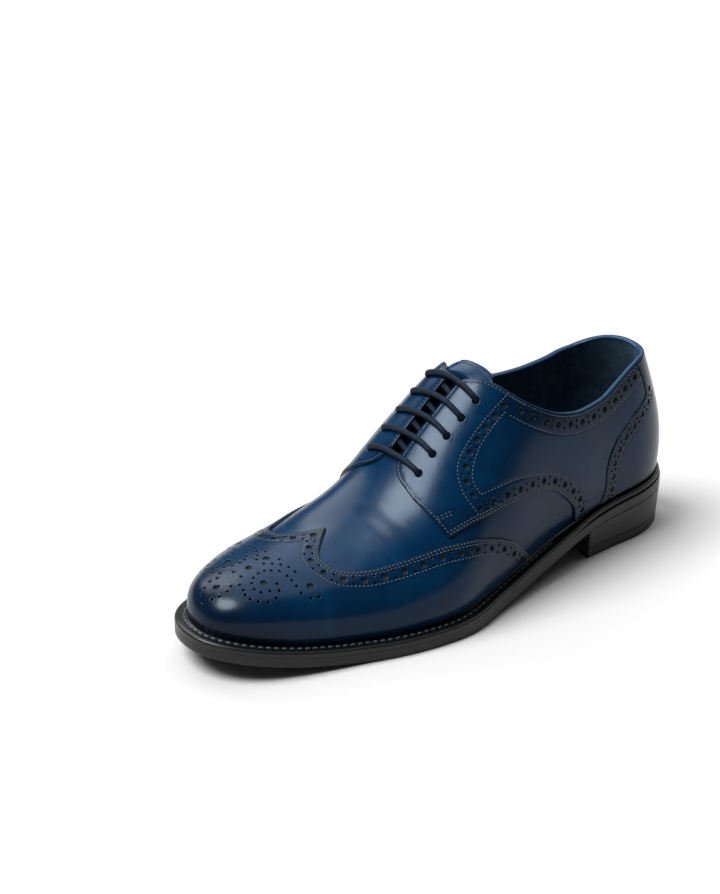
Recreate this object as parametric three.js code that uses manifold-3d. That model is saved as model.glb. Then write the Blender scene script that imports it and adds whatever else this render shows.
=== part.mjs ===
// Wingtip shoe for the left foot, an open-laced dress shoe with a broad toe cap in the shape of wings.
// Millimetres, +Z up. The toe points to -Y and the outer (lateral) side of the foot to +X.
// The shoe stands on Z = 0, on the ball of its outsole and on its heel.

import * as THREE from 'three';
import { mergeVertices } from 'three/addons/utils/BufferGeometryUtils.js';
import Module from 'manifold-3d';

const wasm = await Module();
wasm.setup();

// Driving dimensions of the last
const LAST_LENGTH = 290;
const BALL_WIDTH = 92;
const HEEL_WIDTH = 60;
const INSTEP_HEIGHT = 74;
const TOE_BOX_HEIGHT = 30;
const HEEL_RISE = 21.5;
const TOE_SPRING = 12.5;
const TOE_SWING = 3.2;
const RIDGE_LEAN = 6.3;
const HEEL_CURVE = 10;

// Leather, lining and filling thicknesses
const UPPER_WALL = 1.8;
const OVERLAY_THICKNESS = 1.0;
const COUNTER_THICKNESS = 0.9;
const TONGUE_THICKNESS = 1.6;
const INSOLE_THICKNESS = 3;
const INSOLE_CLEARANCE = 0.9;
const CLEARANCE = 0.3;

// Sole and heel
const OUTSOLE_THICKNESS = 5;
const WELT_THICKNESS = 3;
const FOREPART_MARGIN = 6.5;
const WAIST_MARGIN = 5.5;
const HEEL_MARGIN = 3;
const WELT_LAP = 8;
const HEEL_LENGTH = 68;
const HEEL_BREAST_HOLLOW = 4;
const HEEL_TAPER = 1.4;
const TOP_PIECE_THICKNESS = 5.5;

// Throat, tongue and lacing
const FACING_GAP = 8.5;
const FACING_SHIFT = 1.2;
const TONGUE_WIDTH = 46;
const TONGUE_ABOVE_FACING = 13;
const TONGUE_UNDER_VAMP = 9;
const TONGUE_TOP_ROUND = 12;
const TONGUE_TOP_FLAT = 0.55;
const EYELET_COUNT = 5;
const EYELET_PITCH = 8.8;
const EYELET_FROM_TOP = 2.2;
const EYELET_SETBACK = 15;
const EYELET_DIAMETER = 4.2;
const LACE_DIAMETER = 3;

// Heights that follow from the stack of the sole
const FEATHER_HEIGHT = OUTSOLE_THICKNESS + WELT_THICKNESS + 2 * CLEARANCE;

// Depth of each layer's outer face under the face of the overlays
const UPPER_FACE = -(OVERLAY_THICKNESS + CLEARANCE);
const UPPER_BACK = UPPER_FACE - UPPER_WALL;
const TONGUE_FACE = UPPER_BACK - CLEARANCE;
const TONGUE_BACK = TONGUE_FACE - TONGUE_THICKNESS;

// Stations run from 0 at the back of the heel to 1 at the toe tip
const HEEL_CENTRE = 0.13;
const TOE_START = 0.80;
const TOE_ROUNDNESS = 2.15;
const NOSE_START = 0.865;
const NOSE_ROUNDNESS = 2.2;
const HEEL_ROUNDNESS = 2.2;
const HEEL_SECTION = 0.15;
const BALL_SECTION = 0.66;
const SWING_START = 0.70;
const WAIST_START = 0.20;
const WAIST_FULL = 0.35;
const FOREPART_START = 0.40;
const FOREPART_FULL = 0.60;

// Sections: points on each side, the share of them below the widest place, how the lean grows with
// height, and the height of the point that lies inside them
const SECTION_POINTS = 49;
const FLARE_SHARE = 0.22;
const LEAN_POWER = 1.6;
const CORE_SHARE = 0.35;
const NORMAL_STEP = 0.001;

// Rise of the feather line: share of the heel rise and of the toe spring
const BOTTOM = [
  { at: 0.00, heel: 1.000, toe: 0.00 },
  { at: 0.08, heel: 0.955, toe: 0.00 },
  { at: 0.16, heel: 0.870, toe: 0.00 },
  { at: 0.235, heel: 0.745, toe: 0.00 },
  { at: 0.30, heel: 0.600, toe: 0.00 },
  { at: 0.36, heel: 0.440, toe: 0.00 },
  { at: 0.43, heel: 0.260, toe: 0.00 },
  { at: 0.50, heel: 0.115, toe: 0.00 },
  { at: 0.57, heel: 0.025, toe: 0.00 },
  { at: 0.62, heel: 0.000, toe: 0.00 },
  { at: 0.66, heel: 0.000, toe: 0.00 },
  { at: 0.72, heel: 0.000, toe: 0.01 },
  { at: 0.79, heel: 0.000, toe: 0.10 },
  { at: 0.86, heel: 0.000, toe: 0.30 },
  { at: 0.93, heel: 0.000, toe: 0.61 },
  { at: 1.00, heel: 0.000, toe: 1.00 },
];

// Feather line to each side of the axis, as a share of the local width
const PLAN = [
  { at: 0.00, lateral: 0.480, medial: 0.480 },
  { at: 0.16, lateral: 0.482, medial: 0.480 },
  { at: 0.25, lateral: 0.490, medial: 0.455 },
  { at: 0.35, lateral: 0.484, medial: 0.405 },
  { at: 0.43, lateral: 0.498, medial: 0.395 },
  { at: 0.50, lateral: 0.512, medial: 0.425 },
  { at: 0.57, lateral: 0.540, medial: 0.462 },
  { at: 0.64, lateral: 0.522, medial: 0.488 },
  { at: 0.70, lateral: 0.487, medial: 0.512 },
  { at: 0.76, lateral: 0.432, medial: 0.510 },
  { at: 0.82, lateral: 0.384, medial: 0.488 },
  { at: 0.88, lateral: 0.356, medial: 0.457 },
  { at: 0.94, lateral: 0.343, medial: 0.428 },
  { at: 1.00, lateral: 0.335, medial: 0.402 },
];

// Ridge above the feather line, as shares of the toe box and instep heights, and its lean
const RIDGE = [
  { at: 0.00, toeBox: 0.000, instep: 1.620, lean: 0.00 },
  { at: 0.16, toeBox: 0.000, instep: 1.555, lean: 0.00 },
  { at: 0.30, toeBox: 0.000, instep: 1.400, lean: 0.20 },
  { at: 0.38, toeBox: 0.000, instep: 1.365, lean: 0.33 },
  { at: 0.44, toeBox: 0.000, instep: 1.330, lean: 0.49 },
  { at: 0.50, toeBox: 0.000, instep: 1.172, lean: 0.76 },
  { at: 0.56, toeBox: 0.116, instep: 0.939, lean: 0.95 },
  { at: 0.62, toeBox: 0.324, instep: 0.647, lean: 1.00 },
  { at: 0.68, toeBox: 0.563, instep: 0.409, lean: 0.97 },
  { at: 0.74, toeBox: 0.746, instep: 0.234, lean: 0.90 },
  { at: 0.80, toeBox: 0.865, instep: 0.125, lean: 0.73 },
  { at: 0.86, toeBox: 0.912, instep: 0.054, lean: 0.41 },
  { at: 0.92, toeBox: 0.925, instep: 0.000, lean: 0.13 },
  { at: 1.00, toeBox: 0.920, instep: 0.000, lean: 0.00 },
];

// Roundness of the sections: height of the widest place as a share of the ridge, how far each
// side swells past the feather as a share of its half width, and the exponents of the arch
const BODY = [
  { at: 0.00, widest: 0.20, lateral: 0.060, medial: 0.06, rise: 2.00, spread: 2.20 },
  { at: 0.16, widest: 0.20, lateral: 0.080, medial: 0.08, rise: 2.00, spread: 2.20 },
  { at: 0.30, widest: 0.20, lateral: 0.120, medial: 0.22, rise: 2.00, spread: 2.50 },
  { at: 0.45, widest: 0.22, lateral: 0.100, medial: 0.37, rise: 1.80, spread: 2.42 },
  { at: 0.58, widest: 0.26, lateral: 0.060, medial: 0.14, rise: 1.70, spread: 2.18 },
  { at: 0.68, widest: 0.28, lateral: 0.045, medial: 0.08, rise: 1.85, spread: 2.11 },
  { at: 0.78, widest: 0.30, lateral: 0.040, medial: 0.07, rise: 2.00, spread: 2.15 },
  { at: 0.90, widest: 0.33, lateral: 0.030, medial: 0.03, rise: 2.20, spread: 2.20 },
  { at: 1.00, widest: 0.35, lateral: 0.030, medial: 0.03, rise: 2.20, spread: 2.20 },
];

// Back of the heel in profile: share of the girth, and share of the heel curve past the feather
const BACK = [
  { up: 0.00, out: 0.00 },
  { up: 0.08, out: 0.04 },
  { up: 0.16, out: 0.00 },
  { up: 0.26, out: -0.20 },
  { up: 0.38, out: -0.68 },
  { up: 0.50, out: -1.24 },
  { up: 0.62, out: -1.82 },
  { up: 0.80, out: -2.76 },
  { up: 1.00, out: -3.96 },
];

// Edges of the patterns on the last: station, and share of the girth from the feather to the ridge
const TOPLINE = [
  { at: 0.000, lateral: 0.560, medial: 0.560 },
  { at: 0.030, lateral: 0.564, medial: 0.545 },
  { at: 0.060, lateral: 0.567, medial: 0.523 },
  { at: 0.090, lateral: 0.566, medial: 0.499 },
  { at: 0.110, lateral: 0.558, medial: 0.486 },
  { at: 0.150, lateral: 0.524, medial: 0.480 },
  { at: 0.200, lateral: 0.493, medial: 0.492 },
  { at: 0.250, lateral: 0.507, medial: 0.520 },
  { at: 0.300, lateral: 0.553, medial: 0.567 },
  { at: 0.350, lateral: 0.635, medial: 0.640 },
  { at: 0.400, lateral: 0.753, medial: 0.753 },
  { at: 0.430, lateral: 0.865, medial: 0.865 },
  { at: 0.452, lateral: 0.945, medial: 0.945 },
];

// Top of the form from which the layers are cut, clear of the topline
const FORM_TOP = [
  { at: 0.00, up: 0.680 },
  { at: 0.27, up: 0.640 },
  { at: 0.32, up: 0.740 },
  { at: 0.36, up: 0.870 },
  { at: 0.40, up: 1.000 },
];

const QUARTER_EDGE = [
  { at: 0.270, up: 0.012 },
  { at: 0.278, up: 0.085 },
  { at: 0.297, up: 0.155 },
  { at: 0.325, up: 0.231 },
  { at: 0.352, up: 0.281 },
  { at: 0.380, up: 0.312 },
  { at: 0.433, up: 0.345 },
  { at: 0.505, up: 0.392 },
  { at: 0.550, up: 0.423 },
  { at: 0.593, up: 0.440 },
];

const FACING_FRONT_LOW = [
  { at: 0.593, up: 0.440 },
  { at: 0.602, up: 0.564 },
  { at: 0.607, up: 0.663 },
  { at: 0.609, up: 0.730 },
];

const FACING_FRONT_HIGH = [
  { at: 0.578, up: 0.948 },
  { at: 0.589, up: 0.937 },
  { at: 0.598, up: 0.906 },
  { at: 0.605, up: 0.849 },
  { at: 0.609, up: 0.730 },
];

const WING_EDGE = [
  { up: 0.000, at: 0.404 },
  { up: 0.035, at: 0.400 },
  { up: 0.112, at: 0.424 },
  { up: 0.185, at: 0.451 },
  { up: 0.260, at: 0.489 },
  { up: 0.334, at: 0.537 },
  { up: 0.384, at: 0.578 },
  { up: 0.422, at: 0.612 },
  { up: 0.443, at: 0.647 },
  { up: 0.462, at: 0.681 },
  { up: 0.500, at: 0.730 },
  { up: 0.570, at: 0.769 },
  { up: 0.627, at: 0.781 },
  { up: 0.717, at: 0.786 },
  { up: 0.802, at: 0.779 },
  { up: 0.911, at: 0.755 },
  { up: 1.000, at: 0.729 },
];

const COUNTER_EDGE = [
  { up: 0.000, at: 0.203 },
  { up: 0.103, at: 0.195 },
  { up: 0.174, at: 0.196 },
  { up: 0.237, at: 0.191 },
  { up: 0.283, at: 0.181 },
  { up: 0.324, at: 0.163 },
  { up: 0.358, at: 0.132 },
  { up: 0.391, at: 0.113 },
  { up: 0.413, at: 0.102 },
  { up: 0.468, at: 0.103 },
  { up: 0.541, at: 0.110 },
  { up: 0.575, at: 0.118 },
];

// Where the surfaces are divided, as stations and as shares
const TOPLINE_END = TOPLINE[TOPLINE.length - 1].at;
const SLIT_END = FACING_FRONT_HIGH[0].at;
const REAR_STATIONS = [
  0, 0.03, 0.065, 0.10, HEEL_CENTRE, 0.17, 0.22, 0.27, 0.32, 0.36, 0.40, 0.43,
  TOPLINE_END, 0.495, 0.538, SLIT_END,
];
const VAMP_STATIONS = [0.62, 0.665, 0.71, 0.755, 0.80, 0.845, 0.885, 0.92, 0.95, 0.975, 0.992, 1];
const WALL_SHARES = [0, 0.07, 0.17, 0.30, 0.44, 0.58, 0.72, 0.86, 1];
const REGION_SHARES = [0, 0.3, 0.65, 1];
const COUNTER_STEPS = [0, 0.15, 0.35, 0.55, 0.75, 0.9, 1];
const TONGUE_SHARES = [-1, -0.75, -0.5, -0.25, 0, 0.25, 0.5, 0.75, 1];
const TONGUE_ROWS = 12;
const TONGUE_CROWDING = 1.6;
const WING_ROWS = 9;
const SOLE_STATIONS = [
  0, 0.012, 0.03, 0.055, 0.08, 0.105, 0.13, 0.165, 0.20, 0.235, 0.275, 0.315, 0.355, 0.395,
  0.435, 0.475, 0.515, 0.545, 0.58, 0.62, 0.66, 0.70, 0.74, 0.78, 0.82, 0.85, 0.885, 0.915,
  0.94, 0.96, 0.976, 0.988, 0.996, 1,
];
const WELT_END = 0.055;
const SOLE_SHARES = [-1, -0.5, 0, 0.5, 1];
const INSOLE_SHARES = [-1, -0.4, 0.4, 1];
const HEEL_SHARES = [-1, -0.6, -0.2, 0.2, 0.6, 1];
const HEEL_STEPS = [0, 0.05, 0.13, 0.24, 0.36, 0.48, 0.6, 0.8, 1];
const HEEL_BREAST = HEEL_LENGTH / LAST_LENGTH;
const LACE_STEPS = 15;
const LACE_SPANS = 5;
const LACE_HEIGHT = 2 * CLEARANCE + LACE_DIAMETER / 2;
const PUNCH_SIDES = 8;

// Seams at the feather and at the back, and how far cutters reach past what they cut
const SEAM_ABOVE_FEATHER = 0.012;
const BACK_SEAM = 0.0004;
const FORM_OVERLAP = 0.15;
const CUT_DEPTH = 5;
const OPENING_DEPTH = 10;

// Places nearer than these are one: in grid lines to the millimetre, and in millimetres
const PLACE_GRID = 500;
const MERGE_DISTANCE = 1e-4;

const LEATHER = { color: 0x173a66, roughness: 0.34, metalness: 0 };
const BURNISHED = { color: 0x122c50, roughness: 0.3, metalness: 0 };
const LINING = { color: 0x1b2a44, roughness: 0.7, metalness: 0 };
const SOLE_EDGE = { color: 0x26262c, roughness: 0.42, metalness: 0 };
const RUBBER = { color: 0x18181b, roughness: 0.75, metalness: 0 };
const WAXED_CORD = { color: 0x14203a, roughness: 0.5, metalness: 0 };

const shoe = new THREE.Group();

function addPiece(name, geometry, finish) {
  const mesh = new THREE.Mesh(geometry, new THREE.MeshStandardMaterial(finish));
  mesh.name = name;
  shoe.add(mesh);
}

// Curves through the rows of a table

function pairs(table, from, to) {
  return [table.map((row) => row[from]), table.map((row) => row[to])];
}

function interval(xs, x) {
  let i = 0;
  while (i < xs.length - 2 && x > xs[i + 1]) {
    i += 1;
  }
  return i;
}

function smoothCurve(table, from, to) {
  const [xs, ys] = pairs(table, from, to);
  const last = xs.length - 1;
  const bend = new Array(last + 1).fill(0);
  const scaled = new Array(last + 1).fill(0);
  for (let i = 1; i < last; i += 1) {
    const before = xs[i] - xs[i - 1];
    const after = xs[i + 1] - xs[i];
    const share = before / (before + after);
    const pivot = share * bend[i - 1] + 2;
    const slope = (ys[i + 1] - ys[i]) / after - (ys[i] - ys[i - 1]) / before;
    bend[i] = (share - 1) / pivot;
    scaled[i] = (6 * slope / (before + after) - share * scaled[i - 1]) / pivot;
  }
  const second = new Array(last + 1).fill(0);
  for (let i = last - 1; i >= 0; i -= 1) {
    second[i] = bend[i] * second[i + 1] + scaled[i];
  }
  return (x) => {
    const i = interval(xs, x);
    const width = xs[i + 1] - xs[i];
    const a = (xs[i + 1] - x) / width;
    const b = 1 - a;
    const curve = (a ** 3 - a) * second[i] + (b ** 3 - b) * second[i + 1];
    return a * ys[i] + b * ys[i + 1] + curve * width * width / 6;
  };
}

function steadyCurve(table, from, to) {
  const [xs, ys] = pairs(table, from, to);
  const last = xs.length - 1;
  const widths = xs.slice(1).map((x, i) => x - xs[i]);
  const slopes = widths.map((width, i) => (ys[i + 1] - ys[i]) / width);
  const tangents = ys.map((y, i) => {
    if (i === 0 || i === last) {
      return slopes[Math.min(i, last - 1)];
    }
    if (slopes[i - 1] * slopes[i] <= 0) {
      return 0;
    }
    const before = 2 * widths[i] + widths[i - 1];
    const after = widths[i] + 2 * widths[i - 1];
    return (before + after) / (before / slopes[i - 1] + after / slopes[i]);
  });
  return (x) => {
    const inside = Math.min(Math.max(x, xs[0]), xs[last]);
    const i = interval(xs, inside);
    const t = (inside - xs[i]) / widths[i];
    const u = 1 - t;
    const bend = tangents[i] * u - tangents[i + 1] * t;
    return ys[i] * u * u * (1 + 2 * t) + ys[i + 1] * t * t * (3 - 2 * t) + bend * t * u * widths[i];
  };
}

const heelShare = steadyCurve(BOTTOM, 'at', 'heel');
const springShare = steadyCurve(BOTTOM, 'at', 'toe');
const planShare = { 1: smoothCurve(PLAN, 'at', 'lateral'), '-1': smoothCurve(PLAN, 'at', 'medial') };
const swellShare = { 1: smoothCurve(BODY, 'at', 'lateral'), '-1': smoothCurve(BODY, 'at', 'medial') };
const toeBoxShare = smoothCurve(RIDGE, 'at', 'toeBox');
const instepShare = smoothCurve(RIDGE, 'at', 'instep');
const leanShare = steadyCurve(RIDGE, 'at', 'lean');
const widestShare = smoothCurve(BODY, 'at', 'widest');
const riseExponent = smoothCurve(BODY, 'at', 'rise');
const spreadExponent = smoothCurve(BODY, 'at', 'spread');
const backShare = smoothCurve(BACK, 'up', 'out');
const toplineLateral = steadyCurve(TOPLINE, 'at', 'lateral');
const toplineMedial = steadyCurve(TOPLINE, 'at', 'medial');
const formTop = steadyCurve(FORM_TOP, 'at', 'up');
const quarterEdge = steadyCurve(QUARTER_EDGE, 'at', 'up');
const facingFrontLow = steadyCurve(FACING_FRONT_LOW, 'at', 'up');
const facingFrontHigh = steadyCurve(FACING_FRONT_HIGH, 'at', 'up');
const wingEdge = steadyCurve(WING_EDGE, 'up', 'at');
const counterEdge = steadyCurve(COUNTER_EDGE, 'up', 'at');

// The last

function roundedEnd(at, start, roundness) {
  const t = THREE.MathUtils.clamp((at - start) / (1 - start), 0, 1);
  return Math.max(1 - t ** roundness, 0) ** (1 / roundness);
}

function stationY(at) {
  return (0.5 - at) * LAST_LENGTH;
}

function featherZ(at) {
  const inside = THREE.MathUtils.clamp(at, 0, 1);
  return FEATHER_HEIGHT + HEEL_RISE * heelShare(inside) + TOE_SPRING * springShare(inside);
}

function axisX(at) {
  return -TOE_SWING * THREE.MathUtils.smoothstep(at, SWING_START, 1);
}

function halfWidth(at, side) {
  const blend = THREE.MathUtils.smoothstep(at, HEEL_SECTION, BALL_SECTION);
  const width = HEEL_WIDTH + (BALL_WIDTH - HEEL_WIDTH) * blend;
  return width * planShare[side](at) * roundedEnd(at, TOE_START, TOE_ROUNDNESS);
}

function ridgeHeight(at) {
  const height = TOE_BOX_HEIGHT * toeBoxShare(at) + INSTEP_HEIGHT * instepShare(at);
  return height * roundedEnd(at, NOSE_START, NOSE_ROUNDNESS);
}

// Section from the feather up to the ridge, as [distance from the axis, height above the feather]
const sections = new Map();

function section(at, side) {
  const key = `${at.toFixed(6)} ${side}`;
  if (sections.has(key)) {
    return sections.get(key);
  }
  const foot = halfWidth(at, side);
  const top = ridgeHeight(at);
  const widestZ = top * widestShare(at);
  const widest = foot * (1 + swellShare[side](at));
  const lean = -side * RIDGE_LEAN * leanShare(at);
  const points = [];
  for (let i = 0; i < SECTION_POINTS; i += 1) {
    const t = i / (SECTION_POINTS - 1);
    let out = foot;
    let z = 0;
    if (t < FLARE_SHARE) {
      const low = t / FLARE_SHARE;
      out = foot + (widest - foot) * (1 - (1 - low) ** 2);
      z = widestZ * low;
    } else {
      const angle = Math.PI / 2 * (t - FLARE_SHARE) / (1 - FLARE_SHARE);
      out = i === SECTION_POINTS - 1 ? 0 : widest * Math.cos(angle) ** (2 / spreadExponent(at));
      z = widestZ + (top - widestZ) * Math.sin(angle) ** (2 / riseExponent(at));
    }
    const share = top > 0 ? z / top : 0;
    points.push([out + lean * share ** LEAN_POWER, z]);
  }
  const lengths = [0];
  for (let i = 1; i < points.length; i += 1) {
    const step = Math.hypot(points[i][0] - points[i - 1][0], points[i][1] - points[i - 1][1]);
    lengths.push(lengths[i - 1] + step);
  }
  const result = { points, lengths, girth: lengths[lengths.length - 1] };
  sections.set(key, result);
  return result;
}

function sectionPoint(at, side, up) {
  const { points, lengths, girth } = section(at, side);
  const length = up * girth;
  const i = interval(lengths, length);
  const width = lengths[i + 1] - lengths[i];
  const t = width > 0 ? (length - lengths[i]) / width : 0;
  return [
    points[i][0] + (points[i + 1][0] - points[i][0]) * t,
    points[i][1] + (points[i + 1][1] - points[i][1]) * t,
  ];
}

// Point of the last at a station and across it: 1 is the lateral feather, 0 the ridge, -1 the medial
// feather. Behind the heel centre the stations turn round the heel.
function lastPoint(at, across) {
  const side = across < 0 ? -1 : 1;
  const up = 1 - Math.abs(across);
  if (at >= HEEL_CENTRE) {
    const [out, z] = sectionPoint(at, side, up);
    return new THREE.Vector3(axisX(at) + side * out, stationY(at), featherZ(at) + z);
  }
  const turn = (1 - at / HEEL_CENTRE) * Math.PI / 2;
  const own = sectionPoint(HEEL_CENTRE, side, up);
  const other = sectionPoint(HEEL_CENTRE, -side, up);
  const mix = 0.5 * THREE.MathUtils.smoothstep(turn, 0, Math.PI / 2);
  const out = own[0] + (other[0] - own[0]) * mix;
  const z = own[1] + (other[1] - own[1]) * mix;
  const depth = HEEL_CENTRE * LAST_LENGTH + HEEL_CURVE * backShare(up);
  const round = at <= 0 ? 0 : Math.cos(turn) ** (2 / HEEL_ROUNDNESS);
  const y = stationY(HEEL_CENTRE) + depth * Math.sin(turn) ** (2 / HEEL_ROUNDNESS);
  const lift = (featherZ(0.5 - y / LAST_LENGTH) - featherZ(HEEL_CENTRE)) * (1 - up);
  return new THREE.Vector3(axisX(HEEL_CENTRE) + side * out * round, y, featherZ(HEEL_CENTRE) + z + lift);
}

function lastNormal(at, across) {
  if (at >= 1) {
    return new THREE.Vector3(0, -1, 0);
  }
  const stepAt = Math.min(NORMAL_STEP, (1 - at) / 2);
  const stepAcross = 2 * NORMAL_STEP;
  const along = at < stepAt
    ? lastPoint(stepAt, across).sub(lastPoint(stepAt, -across))
    : lastPoint(at + stepAt, across).sub(lastPoint(at - stepAt, across));
  const high = lastPoint(at, Math.min(across + stepAcross, 1));
  const over = high.sub(lastPoint(at, Math.max(across - stepAcross, -1)));
  const normal = along.cross(over).normalize();
  const core = new THREE.Vector3(axisX(at), Math.min(stationY(at), stationY(HEEL_CENTRE)), 0);
  core.z = featherZ(at) + CORE_SHARE * ridgeHeight(Math.max(at, HEEL_CENTRE));
  const outward = lastPoint(at, across).sub(core);
  return normal.dot(outward) < 0 ? normal.negate() : normal;
}

// A place in a layer of leather, between two depths under the face of the overlays
function layer(at, across, face, back) {
  const point = lastPoint(at, across);
  const normal = lastNormal(at, across);
  return {
    face: point.clone().addScaledVector(normal, face),
    back: point.clone().addScaledVector(normal, back),
  };
}

// Closed solid between the faces and backs of grids of places. Places that meet are one, so grids
// that share an edge are joined, and every open edge gets a wall.
function solidBetween(grids) {
  const places = [];
  const index = new Map();
  const indexOf = (place) => {
    const corners = [...place.face.toArray(), ...place.back.toArray()];
    const key = corners.map((x) => Math.round(x * PLACE_GRID)).join(' ');
    if (!index.has(key)) {
      index.set(key, places.length);
      places.push(place);
    }
    return index.get(key);
  };
  const triangles = [];
  const addTriangle = (a, b, c) => {
    if (a === b || b === c || c === a) {
      return;
    }
    const [p, q, r] = [a, b, c].map((i) => places[i].face);
    const normal = q.clone().sub(p).cross(r.clone().sub(p));
    const outward = new THREE.Vector3();
    [a, b, c].forEach((i) => outward.add(places[i].face).sub(places[i].back));
    triangles.push(normal.dot(outward) > 0 ? [a, b, c] : [a, c, b]);
  };
  grids.forEach((grid) => {
    const ids = grid.map((column) => column.map(indexOf));
    for (let i = 0; i + 1 < ids.length; i += 1) {
      for (let j = 0; j + 1 < ids[i].length; j += 1) {
        addTriangle(ids[i][j], ids[i + 1][j], ids[i + 1][j + 1]);
        addTriangle(ids[i][j], ids[i + 1][j + 1], ids[i][j + 1]);
      }
    }
  });
  const edges = new Set();
  triangles.forEach(([a, b, c]) => {
    [[a, b], [b, c], [c, a]].forEach(([from, to]) => edges.add(`${from} ${to}`));
  });
  const count = places.length;
  const faces = [];
  triangles.forEach(([a, b, c]) => {
    faces.push(a, b, c);
    faces.push(count + a, count + c, count + b);
    [[a, b], [b, c], [c, a]].forEach(([from, to]) => {
      if (!edges.has(`${to} ${from}`)) {
        faces.push(from, count + from, count + to);
        faces.push(from, count + to, to);
      }
    });
  });
  const positions = [];
  places.forEach((place) => positions.push(...place.face.toArray()));
  places.forEach((place) => positions.push(...place.back.toArray()));
  const geometry = new THREE.BufferGeometry();
  geometry.setAttribute('position', new THREE.Float32BufferAttribute(positions, 3));
  geometry.setIndex(faces);
  return geometry;
}

// Boolean cuts

function toSolid(geometry) {
  const bare = geometry.clone();
  bare.deleteAttribute('normal');
  bare.deleteAttribute('uv');
  const merged = mergeVertices(bare, MERGE_DISTANCE);
  return new wasm.Manifold(new wasm.Mesh({
    numProp: 3,
    vertProperties: Float32Array.from(merged.attributes.position.array),
    triVerts: Uint32Array.from(merged.index.array),
  }));
}

function toGeometry(solid) {
  const mesh = solid.getMesh();
  const geometry = new THREE.BufferGeometry();
  geometry.setAttribute('position', new THREE.Float32BufferAttribute(mesh.vertProperties, 3));
  geometry.setIndex(Array.from(mesh.triVerts));
  return geometry;
}

function cutAway(geometry, cutters) {
  return toGeometry(cutters.reduce((solid, cutter) => solid.subtract(toSolid(cutter)), toSolid(geometry)));
}

function keepInside(geometry, region) {
  return toGeometry(toSolid(geometry).intersect(toSolid(region)));
}

// The throat between the facings

function slitAcross(at, side) {
  return (FACING_SHIFT + side * FACING_GAP / 2) / section(at, side).girth;
}

function upperHeight(at, side) {
  const edge = 1 - side * slitAcross(at, side);
  const topline = side > 0 ? toplineLateral : toplineMedial;
  return at < TOPLINE_END ? Math.min(topline(at), edge) : edge;
}

function eyeletAt(row) {
  return TOPLINE_END + (EYELET_FROM_TOP + row * EYELET_PITCH) / LAST_LENGTH;
}

function eyeletAcross(at, side) {
  return (FACING_SHIFT + side * (FACING_GAP / 2 + EYELET_SETBACK)) / section(at, side).girth;
}

// One side of the last, in columns from a low to a high share of the girth
function sideGrid(side, stations, shares, low, high, face, back) {
  return stations.map((at) => shares.map((share) => {
    const up = low(at) + (high(at) - low(at)) * share;
    return layer(at, side * (1 - up), face, back);
  }));
}

// The whole last as a skin between two depths, from a little above the topline down to the feather.
// Every layer of leather is cut from such a form, so the facets of neighbours lie parallel.
function form(face, back) {
  const stations = [...REAR_STATIONS, ...VAMP_STATIONS];
  const grid = (side) => sideGrid(side, stations, WALL_SHARES, () => 0, formTop, face, back);
  return solidBetween([grid(1), grid(-1)]);
}

// Upper: one wall, open at the collar, at the throat and underneath

function makeUpper() {
  const top = (at) => Math.min(1, formTop(at) + FORM_OVERLAP);
  const opening = [1, -1].map((side) => {
    const edge = (at) => upperHeight(at, side);
    return sideGrid(side, REAR_STATIONS, REGION_SHARES, edge, top, OPENING_DEPTH, -OPENING_DEPTH);
  });
  const punches = [...eyeletPunches(1), ...eyeletPunches(-1)];
  return cutAway(form(UPPER_FACE, UPPER_BACK), [solidBetween(opening), ...punches]);
}

// Wing cap: from the feather over the toe, with its edge in two wings and a peak on the ridge

function makeWingCap() {
  const heights = WING_EDGE.map((row) => Math.max(row.up, SEAM_ABOVE_FEATHER));
  const rows = [...heights.map((up) => 1 - up), ...heights.slice(0, -1).reverse().map((up) => up - 1)];
  const region = rows.map((across) => {
    const edge = wingEdge(1 - Math.abs(across));
    return Array.from({ length: WING_ROWS + 1 }, (_, i) => {
      const t = i === WING_ROWS ? 1 : Math.sin(Math.PI / 2 * i / WING_ROWS);
      return layer(edge + (1 - edge) * t, across, CUT_DEPTH, -CUT_DEPTH);
    });
  });
  return keepInside(form(0, -OVERLAY_THICKNESS), solidBetween([region]));
}

// Quarter with its facing: from the back seam to the facing's front, over the vamp

function quarterLow(at) {
  if (at < QUARTER_EDGE[0].at) {
    return SEAM_ABOVE_FEATHER;
  }
  return at < FACING_FRONT_LOW[0].at ? quarterEdge(at) : facingFrontLow(at);
}

function quarterHigh(at, side) {
  return at < SLIT_END ? upperHeight(at, side) : Math.min(facingFrontHigh(at), upperHeight(at, side));
}

function makeQuarter(side) {
  const edges = [...QUARTER_EDGE, ...FACING_FRONT_LOW, ...FACING_FRONT_HIGH].map((row) => row.at);
  const stations = [BACK_SEAM, ...REAR_STATIONS.slice(1), ...edges].sort((a, b) => a - b);
  const apart = stations.filter((at, i) => i === 0 || at > stations[i - 1]);
  const high = (at) => quarterHigh(at, side);
  const region = sideGrid(side, apart, REGION_SHARES, quarterLow, high, CUT_DEPTH, -CUT_DEPTH);
  const quarter = keepInside(form(0, -OVERLAY_THICKNESS), solidBetween([region]));
  return cutAway(quarter, eyeletPunches(side));
}

// Heel counter: round the back of both quarters, narrow at the topline

function makeCounter() {
  const top = COUNTER_EDGE[COUNTER_EDGE.length - 1].up;
  const region = [1, -1].map((side) => COUNTER_EDGE.map((row) => COUNTER_STEPS.map((step) => {
    const at = row.at * step;
    const up = SEAM_ABOVE_FEATHER + (upperHeight(at, side) - SEAM_ABOVE_FEATHER) * row.up / top;
    return layer(at, side * (1 - up), CUT_DEPTH, -CUT_DEPTH);
  })));
  return keepInside(form(CLEARANCE + COUNTER_THICKNESS, CLEARANCE), solidBetween(region));
}

// Tongue: under the throat, with its top standing above the facings

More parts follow.
